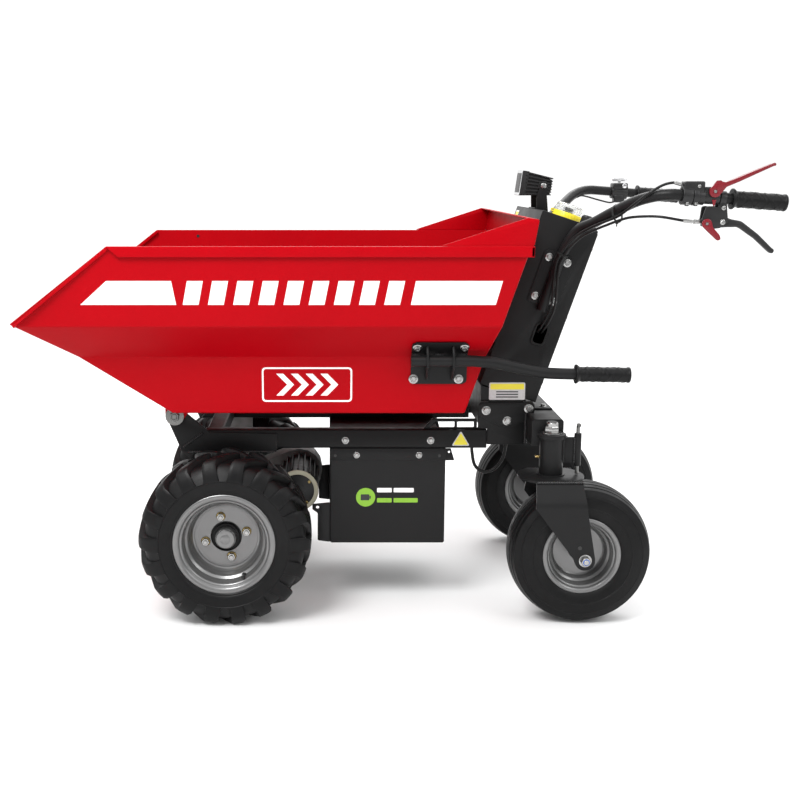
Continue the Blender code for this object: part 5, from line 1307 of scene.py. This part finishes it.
def handlebars():
    bar_y = COLUMN_HALF + 0.0165
    for side, name in SIDES:
        shape, bolts, weld = Shape(), Shape(), Shape()
        outline = filleted([(-0.035, 0.226), (0.04, 0.226), (0.04, 0.346), (0.032, 0.354),
                            (-0.027, 0.354), (-0.035, 0.346)], 0.006, 4)
        shape.plate(outline, side * (COLUMN_HALF + 0.0003), side * (COLUMN_HALF + 0.0048), 0.0009, (),
            COLUMN_FRAME)
        route = [in_column(0.003, side * bar_y, z) for z in (0.213, 0.25, 0.285, 0.32, 0.345)]
        route += [Vector((x, side * y, z)) for x, y, z in (
            (0.4306, 0.223, 0.91), (0.4674, 0.26, 0.9354), (0.4995, 0.3, 0.9596),
            (0.5355, 0.35, 0.9837), (0.568, 0.383, 0.9955), (0.595, 0.3975, 0.9985))]
        straight = [bar_point(x, side) for x in (BAR_FLAT_X, BAR_FLAT_X + 0.02, GRIP_END - 0.006)]
        shape.tube(smooth_route(route + [straight[0]], 8) + straight[1:], BAR_RADIUS, 32)
        for x in (-0.0197, 0.025):
            for z in (0.2418, 0.3377):
                spot = in_column(x, side * (COLUMN_HALF + 0.0048), z)
                bolts.bolt(spot, (0, side, 0), 0.0064, 1.5, 0.0056)
        for x in (-0.0055, 0.0115):
            for z in (0.235, 0.31):
                weld.weld(in_column(x, side * (COLUMN_HALF + 0.0062), z),
                    in_column(x, side * (COLUMN_HALF + 0.0062), z + 0.026))
        stand_for(shape.done(f"bent_handlebar_{name}", FRAME_BLACK, 35), f"handlebar_{name}")
        add_on(bolts.done(f"handlebar_bolts_{name}", ZINC), f"handlebar_{name}")
        add_on(weld.done(f"handlebar_welds_{name}", WELD_BLACK, 60), f"handlebar_{name}")
        start = bar_point(GRIP_START, side)
        direction = (bar_point(GRIP_END, side) - start).normalized()
        grip(f"ridged_grip_{name}", start, direction, BAR_RADIUS, GRIP_RADIUS, GRIP_FLANGE,
             (GRIP_END - GRIP_START) / math.cos(BAR_SLOPE), f"handlebar_grip_{name}")


def bar_ring(shape, side, x, length, radius, bevel=0.0012):
    """A clamp band round the straight end of a handlebar."""
    place = along(bar_point(x, side), bar_point(x + length, side))
    bore = BAR_RADIUS + 0.0003
    shape.lathe(rounded_rect(bore, 0, radius, length, bevel, 3), place, 48)


def left_controls():
    pivot_x, pivot_z = 0.6843, 1.0053
    housing = Shape()
    bar_ring(housing, LEFT, 0.6174, 0.0215, 0.0205)
    bar_ring(housing, LEFT, 0.6405, 0.012, 0.0205)
    bar_ring(housing, LEFT, 0.6174, 0.048, 0.018)
    bar_ring(housing, LEFT, 0.664, 0.034, 0.015)
    housing.box((0.619, -0.4165, 1.0), (0.664, -0.386, 1.027), 0.0035)
    housing.box((0.66, -0.413, 0.996), (0.6985, -0.388, 1.015), 0.003)
    for x in (0.627, 0.646):
        housing.box((x - 0.0035, -0.415, 0.974), (x + 0.0035, -0.406, 0.985), 0.0012)
    stand_for(housing.done("throttle_body", PLASTIC, 35), "throttle_housing")
    screws = Shape()
    out = Vector((0, -1, 0))
    screws.lathe([(0, -0.004), (0.0035, -0.004), (0.0035, 0.002), (0.0028, 0.003), (0, 0.003)],
                 along((pivot_x, -0.42, pivot_z), (pivot_x, -0.43, pivot_z)), 20)
    for x in (0.627, 0.646):
        screws.bolt((x, -0.4148, 0.9795), out, 0.0026, 1.3, 0.0022)
    screws.bolt((0.651, -0.4162, 1.0165), out, 0.0028, 1.3, 0.0022)
    add_on(screws.done("throttle_screws", ZINC), "throttle_housing")

    lever = Shape()
    outline = [*arc(pivot_x, pivot_z, 0.0125, 120, 330, 18), (0.708, 1.015), (0.735, 1.0262), (0.76, 1.0378),
        (0.806, 1.059), *arc(0.8072, 1.0622, 0.0036, -60, 100, 8), (0.756, 1.045), (0.725, 1.032),
        (0.706, 1.025), (0.699, 1.0262), (0.695, 1.029), (0.687, 1.0285), (0.683, 1.0235)]
    lever.plate(outline, -0.4215, -0.416, 0.0009, [circle(pivot_x, pivot_z, 0.0037)])
    blade = filleted([(0.716, 1.0215), (0.76, 1.0388), (0.806, 1.0595), (0.8048, 1.0645), (0.756, 1.0448),
                      (0.715, 1.0275)], 0.002, 3)
    lever.plate(blade, -0.418, -0.403, 0.0014)
    stand_for(lever.done("thumb_lever", LEVER_RED, 40), "throttle_lever")
    knob = Shape()
    knob.plate(filleted([(0.68, 0.988), (0.689, 0.988), (0.686, 0.976), (0.684, 0.9725), (0.682, 0.979)],
                        0.0015, 3), -0.4165, -0.4125, 0.0008)
    add_on(knob.done("throttle_stop", LEVER_RED, 40), "throttle_housing")

    bracket = Shape()
    bar_ring(bracket, LEFT, 0.6995, 0.0135, 0.0155)
    inner = filleted([(0.6675, 0.974), (0.664, 0.942), (0.672, 0.929), (0.685, 0.926), (0.712, 0.936),
                      (0.715, 0.96), (0.712, 0.988), (0.7, 0.988), (0.696, 0.974), (0.688, 0.96),
                      (0.68, 0.974)], 0.006, 4)
    bracket.plate(inner, -0.389, -0.383, 0.0012)
    ear = filleted([(0.67, 0.974), (0.662, 0.946), (0.664, 0.93), (0.676, 0.924), (0.702, 0.927),
                    (0.719, 0.94), (0.716, 0.964), (0.713, 0.988), (0.7, 0.988), (0.695, 0.97),
                    (0.687, 0.974)], 0.007, 4)
    bracket.plate(ear, -0.4113, -0.4067, 0.0012)
    bracket.box((0.666, -0.4113, 0.93), (0.676, -0.386, 0.948), 0.002)
    stand_for(bracket.done("brake_perch", PLASTIC, 35), "brake_bracket")
    metal = Shape()
    metal.lathe([(0, 0), (0.0032, 0), (0.0032, 0.004), (0.0052, 0.004), (0.0052, 0.009), (0.0046, 0.0095),
        (0.0046, 0.012), (0.0052, 0.0125), (0.0052, 0.018), (0.004, 0.02), (0.004, 0.024), (0, 0.024)],
        along((0.644, -0.4, 0.9405), (0.668, -0.4, 0.9405)), 20)
    metal.bolt((0.7069, -0.4113, 0.9399), out, 0.0046, 1.25, 0.003)
    metal.bolt((0.7075, -0.4113, 0.97), out, 0.0034, 1.35, 0.0028)
    metal.lathe([(0, 0), (0.003, 0), (0.003, 0.0066), (0, 0.0066)],
                along((0.6717, -0.411, 0.9365), (0.6717, -0.42, 0.9365)), 16)
    add_on(metal.done("brake_fittings", ZINC), "brake_bracket")

    hub_x, hub_z = 0.7069, 0.9399
    brake = Shape()
    outline = [
        *arc(hub_x, hub_z, 0.013, 60, 250, 16),
        *filleted([(0.715, 0.9285), (0.743, 0.929), (0.78, 0.904), (0.814, 0.874)], 0.02, 6, closed=False),
        *arc(0.8195, 0.878, 0.0055, -110, 60, 9),
        *filleted([(0.82, 0.884), (0.788, 0.914), (0.75, 0.942), (0.728, 0.946), (0.714, 0.951)], 0.02, 6,
                  closed=False),
    ]
    brake.plate(outline, -0.4058, -0.3932, 0.003, [circle(hub_x, hub_z, 0.0038)])
    stand_for(brake.done("curved_brake_lever", PLASTIC, 40), "brake_lever")
    lock = Shape()
    lock_x, lock_z = 0.6717, 0.9365
    outline = [
        *arc(lock_x, lock_z, 0.0108, 10, 235, 16),
        *filleted([(0.67, 0.923), (0.688, 0.907), (0.696, 0.9), (0.7035, 0.903), (0.7, 0.913),
                   (0.685, 0.929)], 0.006, 4, closed=False),
    ]
    lock.plate(outline, -0.4178, -0.4133, 0.0009, [circle(lock_x, lock_z, 0.0036)])
    stand_for(lock.done("parking_catch", LEVER_RED, 40), "parking_lock_lever")


def right_controls():
    pod = Shape()
    bar_ring(pod, RIGHT, 0.6545, 0.0445, 0.0195, 0.002)
    pod.box((0.6565, 0.379, 1.0), (0.6975, 0.421, 1.0178), 0.0035)
    pod.box((0.66, 0.38, 0.964), (0.69, 0.408, 0.986), 0.004)
    stand_for(pod.done("switch_body", PLASTIC, 35), "switch_pod")
    button = Shape().lathe(filleted([(0, 0), (0.0066, 0), (0.0066, 0.0085), (0.0058, 0.0098), (0, 0.01)],
        0.0006, 2, closed=False), along((0.686, 0.381, 1.01), (0.686, 0.371, 1.01)), 32)
    stand_for(button.done("push_button", CHROME), "pod_button")
    lever = Shape()
    lever.box((0.656, 0.3962, 1.0232), (0.698, 0.4038, 1.0328), 0.0028)
    lever.lathe([(0, 0), (0.005, 0), (0.005, 0.0058), (0, 0.0058)], Matrix.Translation((0.677, 0.4, 1.0184)),
        20)
    stand_for(lever.done("direction_rocker", CHROME, 35), "direction_lever")


def column_top():
    top, turn = COLUMN_LENGTH, COLUMN_FRAME
    half, ear_y = 0.04, 0.0406
    pivot_x, pivot_z = 0.3841, 1.0139
    bracket = Shape()
    bracket.box((-0.066, -ear_y - 0.003, top + 0.0003), (-0.025, ear_y + 0.003, top + 0.0038), 0.001, 2, turn)
    foot_a, foot_b = in_column(-0.06, 0, top + 0.001), in_column(-0.03, 0, top + 0.001)
    for side, _ in SIDES:
        outline = [(foot_a.x, foot_a.z), (foot_b.x, foot_b.z), (0.393, 0.99),
                   *arc(pivot_x, pivot_z, 0.01, -20, 200, 14), (0.368, 0.99)]
        bracket.side_plate(side, outline, ear_y, ear_y + 0.003, 0.0007)
    stand_for(bracket.done("lamp_yoke", FRAME_BLACK, 35), "work_light_bracket")
    screws = Shape()
    for side, _ in SIDES:
        screws.bolt((pivot_x, side * (ear_y + 0.003), pivot_z), (0, side, 0), 0.0048, 1.4, 0.0045)
    for y in (-0.022, 0.022):
        screws.bolt(in_column(-0.046, y, top + 0.0038), turn.to_3x3() @ Vector((0, 0, 1)), 0.0045)
    add_on(screws.done("lamp_screws", ZINC), "work_light_bracket")

    lamp = Shape()
    body = [(0.333, 0.9905), (0.4, 0.9905), (0.404, 1.0), (0.407, 1.028), (0.348, 1.048), (0.34, 1.049)]
    lamp.plate(filleted(body, 0.003, 3), -half + 0.006, half - 0.006, 0.0015)
    shell = [(0.3245, 0.9905), (0.34, 0.9905), (0.35, 1.049), (0.333, 1.0515)]
    lamp.plate(filleted(shell, 0.002, 3), -half, half, 0.002)
    for index in range(7):
        front_z, rear_z = 0.9935 + 0.0088 * index, 0.9905 + 0.0065 * index
        rear_x = 0.403 + 0.0008 * index
        fin = [(0.34, front_z), (rear_x, rear_z), (rear_x + 0.0006, rear_z + 0.0028),
            (0.34, front_z + 0.0032)]
        lamp.plate(filleted(fin, 0.0008, 2), -half, half, 0.0005)
    lamp.plate(circle(pivot_x, pivot_z, 0.0125, 28), -half, half, 0.001)
    stand_for(lamp.done("finned_lamp", LAMP_BLACK, 35), "work_light")
    bezel = Shape()
    frame_low, frame_high = (0.3243, 0.9915), (0.3322, 1.0508)
    lean = (frame_high[0] - frame_low[0]) / (frame_high[1] - frame_low[1])

    def front(y, z, out):
        return Vector((frame_low[0] + (z - frame_low[1]) * lean - out, y, z))

    outer = rounded_rect(-half + 0.001, frame_low[1], half - 0.001, frame_high[1], 0.004)
    inside = rounded_rect(-half + 0.006, frame_low[1] + 0.006, half - 0.006, frame_high[1] - 0.006, 0.003)
    rings = [bezel.ring([front(y, z, d) for y, z in loop])
             for loop, d in ((outer, -0.0045), (outer, -0.0002), (inside, -0.0002), (inside, -0.0045))]
    bezel.skin(rings + [rings[0]])
    add_on(bezel.done("lamp_bezel", CHROME, 35), "work_light")
    lens = Shape()
    glass = rounded_rect(-half + 0.0055, frame_low[1] + 0.0055, half - 0.0055, frame_high[1] - 0.0055, 0.003)
    rings = [lens.ring([front(y, z, d) for y, z in glass]) for d in (-0.004, -0.0018)]
    lens.solid(rings)
    add_on(lens.done("lamp_lens", LENS, 35), "work_light")

    key = turn @ Matrix.Translation((0.012, -0.06, top))
    ring = Shape()
    ring.lathe(filleted([(0, 0.01), (0.018, 0.01), (0.018, 0.006), (0.0325, 0.006), (0.0325, 0.016),
                         (0.0345, 0.016), (0.036, 0.006), (0.036, 0.0003), (0, 0.0003)], 0.0008, 2,
                        closed=False), key, 64)
    for index in range(30):
        spoke = spun(key, index, 30)
        ring.box((0.0338, -0.001, 0.0006), (0.0363, 0.001, 0.012), 0.0003, 1, spoke)
    for x in (0.05, -0.026):
        hinge = turn @ Matrix.Translation((x, -0.06, top + 0.0125)) @ Matrix.Rotation(math.pi / 2, 4, "X")
        ring.lathe(rounded_rect(0.002, -0.004, 0.0045, 0.004, 0.0005, 2), hinge, 24)
    stand_for(ring.done("yellow_guard_ring", YELLOW, 35), "key_switch_base")
    switch = Shape()
    switch.lathe(filleted([(0, 0.01), (0.0135, 0.01), (0.0135, 0.0165), (0.011, 0.02), (0, 0.02)], 0.0008, 2,
                          closed=False), key, 40)
    switch.box((-0.011, -0.003, 0.0195), (0.011, 0.003, 0.029), 0.0012, 2, key)
    add_on(switch.done("switch_core", PLASTIC, 35), "key_switch_base")
    cover = Shape()
    skin = [(0.033, 0.0164), (0.033, 0.03), (0.0318, 0.0345), (0.0285, 0.0372), (0.016, 0.0379), (0, 0.038)]
    skin = filleted(skin, 0.004, 4, closed=False)
    inner = [(r * 0.945, z - 0.0016) for r, z in skin if r > 1e-6 and z > 0.018]
    cover.lathe(skin + [(0, 0.0362)] + list(reversed(inner)) + [(0.0308, 0.0164)], key, 72)
    for index in range(24):
        rib = spun(key, index, 24)
        cover.box((0.0318, -0.0006, 0.0175), (0.0334, 0.0006, 0.032), 0.0003, 1, rib)
    for lift in (0.018, 0.032):
        cover.lathe([(0.0322, lift), (0.0337, lift), (0.0337, lift + 0.0016), (0.0322, lift + 0.0016)], key,
            72)
    stand_for(cover.done("clear_flip_cover", CLEAR, 35), "key_switch_cover")

    spot = turn @ Matrix.Translation((0.05, -0.115, top))
    knob = Shape()
    knob.lathe(filleted([(0, 0.0236), (0.0095, 0.0236), (0.0115, 0.0225), (0.0128, 0.019), (0.0128, 0.002),
                         (0.012, 0.0009), (0, 0.0009)], 0.0008, 2, closed=False), spot, 48)
    for index in range(18):
        rib = spun(spot, index, 18)
        knob.box((0.0118, -0.001, 0.0022), (0.0139, 0.001, 0.0195), 0.0004, 1, rib)
    stand_for(knob.done("ribbed_knob", PLASTIC, 35), "speed_knob")
    pointer = Shape().box((0.002, -0.0007, 0.0234), (0.0098, 0.0007, 0.024), 0.0002, 1, spot)
    add_on(pointer.done("knob_pointer", LEVER_RED), "speed_knob")


# ---------------------------------------------------------------- cables

THROTTLE_ROUTE = (
    (0.6166, -0.4, 1.02), (0.6037, -0.397, 1.024), (0.58, -0.393, 1.019), (0.5515, -0.3905, 1.002),
    (0.532, -0.374, 0.984), (0.5165, -0.347, 0.965), (0.501, -0.32, 0.9485), (0.48, -0.297, 0.937),
    (0.4605, -0.2775, 0.9265), (0.4375, -0.252, 0.911), (0.4215, -0.239, 0.896), (0.4085, -0.232, 0.8785),
    (0.3965, -0.228, 0.86), (0.3878, -0.2262, 0.8417), (0.3838, -0.2258, 0.8175), (0.382, -0.2262, 0.792),
    (0.3815, -0.2232, 0.759), (0.3785, -0.215, 0.73), (0.37, -0.205, 0.704), (0.361, -0.1965, 0.683),
    (0.3565, -0.185, 0.672),
)
BRAKE_ROUTE = (
    (0.6446, -0.4, 0.9405), (0.6222, -0.399, 0.9433), (0.5812, -0.39, 0.9503), (0.5552, -0.37, 0.951),
    (0.525, -0.344, 0.9478), (0.505, -0.323, 0.9405), (0.4838, -0.3, 0.9295), (0.4645, -0.28, 0.919),
    (0.442, -0.255, 0.904), (0.4275, -0.2425, 0.89), (0.4158, -0.235, 0.8745), (0.405, -0.23, 0.8575),
    (0.3962, -0.228, 0.84), (0.392, -0.2265, 0.8175), (0.3902, -0.2262, 0.792), (0.3895, -0.224, 0.759),
    (0.3868, -0.2175, 0.729), (0.3785, -0.207, 0.701), (0.3698, -0.197, 0.681), (0.3655, -0.185, 0.6695),
)
LOOP_ROUTE = (
    (0.205, -0.185, 0.3897), (0.206, -0.185, 0.376), (0.213, -0.185, 0.345),
    (0.2332, -0.185, 0.328), (0.26, -0.185, 0.334), (0.28, -0.185, 0.36),
    (0.287, -0.185, 0.39), (0.288, -0.185, 0.41), (0.288, -0.185, 0.4397),
)
SWITCH_ROUTE = (
    (0.663, 0.393, 0.9655), (0.648, 0.393, 0.964), (0.615, 0.393, 0.972), (0.585, 0.384, 0.98),
    (0.564, 0.366, 0.983), (0.55, 0.354, 0.979),
)

# Each tie: two points across the bar and its cables, and the direction they run in.
TIES = (
    ((0.5035, -0.305, 0.962), (0.5015, -0.319, 0.948), (0.55, -0.62, 0.42)),
    ((0.402, -0.2085, 0.855), (0.399, -0.229, 0.863), (0.42, -0.15, 0.9)),
)


def cables():
    for name, route, radius in (("throttle_cable", THROTTLE_ROUTE, 0.003), ("brake_cable", BRAKE_ROUTE,
            0.003), ("wiring_loop", LOOP_ROUTE, 0.004)):
        piece = Shape().tube(smooth_route(route, 10), radius, 20)
        stand_for(piece.done(f"{name}_sheath", CABLE), name)
    ties = Shape()
    for low, high, run in TIES:
        low, high, run = Vector(low), Vector(high), Vector(run).normalized()
        middle, across = (low + high) / 2, (high - low).normalized()
        across = (across - run * across.dot(run)).normalized()
        upward = run.cross(across)
        loop = [middle + across * 0.0235 * math.cos(a) + upward * 0.0155 * math.sin(a)
                for a in (2 * math.pi * k / 40 for k in range(41))]
        for shift in (-0.0012, 0.0012):
            ties.tube([p + run * shift for p in loop], 0.0011, 8)
        head = middle + across * 0.025
        ties.box((-0.003, -0.003, -0.0035), (0.003, 0.003, 0.0035), 0.0008, 2, Matrix.Translation(head))
        ties.tube([head, head + across * 0.0045 + Vector((0, 0, -0.006))], 0.0014, 8)
    add_on(ties.done("cable_ties", CABLE), "throttle_cable")
    wire = Shape().tube(smooth_route(SWITCH_ROUTE, 10), 0.0022, 16)
    add_on(wire.done("switch_wire", CABLE), "handlebar_right")
    ends = Shape()
    for route, reach in ((THROTTLE_ROUTE, 0.016), (BRAKE_ROUTE, 0.02)):
        a, b = Vector(route[0]), Vector(route[1])
        ends.lathe([(0, 0), (0.004, 0), (0.0042, 0.001), (0.0042, reach - 0.002), (0.0036, reach),
            (0, reach)], along(a, b), 20)
    add_on(ends.done("cable_ferrules", ZINC), "brake_cable")


# ---------------------------------------------------------------- labels

def on_plane(y):
    """Surface function for film on an upright face at a distance from the middle plane."""
    return lambda x, z, side, lift: Vector((x, side * (y + lift), z))


def stickers():
    """Two small blank stickers on the upper front of the column."""
    for name, y, low, high, inner in (("outer", 0.15, 0.395, 0.425, 0.022), ("inner", -0.12, 0.38, 0.4,
            0.034)):
        for material, slot, inset, lift in ((WHITE_FILM, "zinc_steel", 0.0, 0.0002),
                (YELLOW_FILM, "ring_yellow", 0.004, 0.0006)):
            shape = Shape()
            face = rounded_rect(y - inner + inset, low + inset, y + inner - inset, high - inset, 0.002)
            rings = [shape.ring([in_column(-COLUMN_DEPTH / 2 - lift - d, a, b) for a, b in face])
                for d in (0, 0.0003)]
            shape.solid(rings)
            kind = "edge" if inset == 0 else "face"
            add_on(shape.done(f"column_sticker_{name}_{kind}", material), "column_shell")


def labels():
    plate_y = on_plane(COLUMN_HALF)
    label = rounded_rect(0.2428, 0.5075, 0.3295, 0.5497, 0.004)
    for side, name in SIDES:
        film(f"notice_plate_{name}", [label], side, SILVER_FILM, "column_shell", plate_y,
            0.0006)
        film(f"notice_band_{name}", [rounded_rect(0.2458, 0.5328, 0.3265, 0.5468, 0.002)], side, YELLOW_FILM,
             "column_shell", on_plane(COLUMN_HALF + 0.0007))
        bars = [[(0.26, z), (0.313, z), (0.313, z + 0.0028), (0.26, z + 0.0028)] for z in (0.513, 0.5195,
            0.5258)]
        film(f"notice_bars_{name}", bars, side, BLACK_PRINT_AND_HOLE_SHADE, "column_shell",
             on_plane(COLUMN_HALF + 0.0007))
        mid, low, high, reach = 0.176, 0.396, 0.433, 0.022
        border = filleted([(mid - reach, low), (mid + reach, low), (mid, high)], 0.003, 4)
        inner = filleted([(mid - reach + 0.004, low + 0.0024), (mid + reach - 0.004, low + 0.0024),
                          (mid, high - 0.0052)], 0.002, 4)
        rail = on_plane(RAIL_OUTER_Y)
        film(f"rail_label_edge_{name}", [border], side, SILVER_FILM, "frame_rail_left", rail)
        film(f"rail_label_{name}", [inner], side, YELLOW_FILM, "frame_rail_left",
             on_plane(RAIL_OUTER_Y + 0.0004))
        box = on_plane(BOX_HALF_Y)
        disc_x, disc_z, size = -0.0532, 0.2671, 0.0234
        film(f"roundel_{name}", [circle(disc_x, disc_z, size, 48)], side, GREEN_FILM,
            "battery_box", box)
        cell = [rounded_rect(disc_x - 0.012, disc_z - 0.0075, disc_x + 0.009, disc_z + 0.0075, 0.002),
                rounded_rect(disc_x + 0.0095, disc_z - 0.0035, disc_x + 0.0125, disc_z + 0.0035, 0.0008)]
        film(f"roundel_mark_{name}", cell, side, BLACK_PRINT_AND_HOLE_SHADE, "battery_box",
             on_plane(BOX_HALF_Y + 0.0004))
        for label_name, low, reach, ink in (("upper", 0.2795, 0.064, WHITE_FILM),
                ("lower", 0.254, 0.074, GREEN_FILM)):
            bars = [rounded_rect(-0.0255, low, 0.0105, low + 0.011, 0.002), rounded_rect(0.015, low, reach,
                low + 0.011, 0.002)]
            film(f"box_bars_{label_name}_{name}", bars, side, ink, "battery_box", box)


# ---------------------------------------------------------------- stage

def stage():
    floor_mesh = bpy.data.meshes.new("floor")
    floor_mesh.from_pydata([(FLOOR_REACH * x, FLOOR_REACH * y, 0) for x, y in ((-1, -1), (1, -1), (1, 1),
        (-1, 1))], [], [(0, 1, 2, 3)])
    n = Nodes("studio_floor")
    tint = n.ramp(n.noise(1.5, 2), (0.3, (0.73, 0.73, 0.73)), (0.7, (0.75, 0.75, 0.75)))
    floor_mesh.materials.append(n.finish(tint, None, None, Roughness=0.75))
    floor = bpy.data.objects.new("floor", floor_mesh)
    bpy.context.scene.collection.objects.link(floor)
    floor.location.z = -FLOOR_DROP

    world = bpy.data.worlds.new("studio")
    bpy.context.scene.world = world
    world.use_nodes = True
    tree = world.node_tree
    place = tree.nodes.new("ShaderNodeTexCoord")
    axes = tree.nodes.new("ShaderNodeSeparateXYZ")
    tree.links.new(place.outputs["Generated"], axes.inputs["Vector"])
    parts = []
    for axis, stops in SKY:
        spread = tree.nodes.new("ShaderNodeMapRange")
        spread.inputs["From Min"].default_value = -1
        tree.links.new(axes.outputs[axis], spread.inputs["Value"])
        ramp = tree.nodes.new("ShaderNodeValToRGB")
        for element, (position, grey) in zip(ramp.color_ramp.elements, stops):
            element.position, element.color = position, (grey, grey, grey, 1)
        tree.links.new(spread.outputs["Result"], ramp.inputs["Fac"])
        parts.append(ramp.outputs["Color"])
    total = tree.nodes.new("ShaderNodeMix")
    total.data_type, total.blend_type = "RGBA", "ADD"
    total.inputs[0].default_value = 1.0
    tree.links.new(parts[0], total.inputs[6])
    tree.links.new(parts[1], total.inputs[7])
    tree.links.new(total.outputs[2], tree.nodes["Background"].inputs["Color"])

    for name, place, target, size, power in LIGHTS:
        data = bpy.data.lights.new(name, "AREA")
        data.shape, data.size, data.energy = "DISK", size, power
        lamp = bpy.data.objects.new(name, data)
        lamp.location = place
        lamp.rotation_euler = (Vector(target) - Vector(place)).to_track_quat("-Z", "Y").to_euler()
        bpy.context.scene.collection.objects.link(lamp)

    lens = bpy.data.cameras.new("camera")
    lens.lens, lens.sensor_width, lens.shift_x = CAMERA_LENS, CAMERA_SENSOR, CAMERA_SHIFT
    camera = bpy.data.objects.new("camera", lens)
    camera.location = CAMERA_PLACE
    camera.rotation_euler = (CAMERA_PITCH, 0, 0)
    bpy.context.scene.collection.objects.link(camera)
    bpy.context.scene.camera = camera
    bpy.context.scene.view_settings.view_transform = "Standard"


for machine_side, machine_name in SIDES:
    for make in (drive_tyre, drive_rim, drive_hub, caster_tyre, caster_rim, caster_fork, caster_axle,
            lock_pin):
        make(machine_side, machine_name)
for make in (crossmember, rails, gussets, battery_box, drive_unit, tub, tub_decals, tipping_handle, column,
             handlebars, left_controls, right_controls, column_top, cables, labels, stickers, stage):
    make()
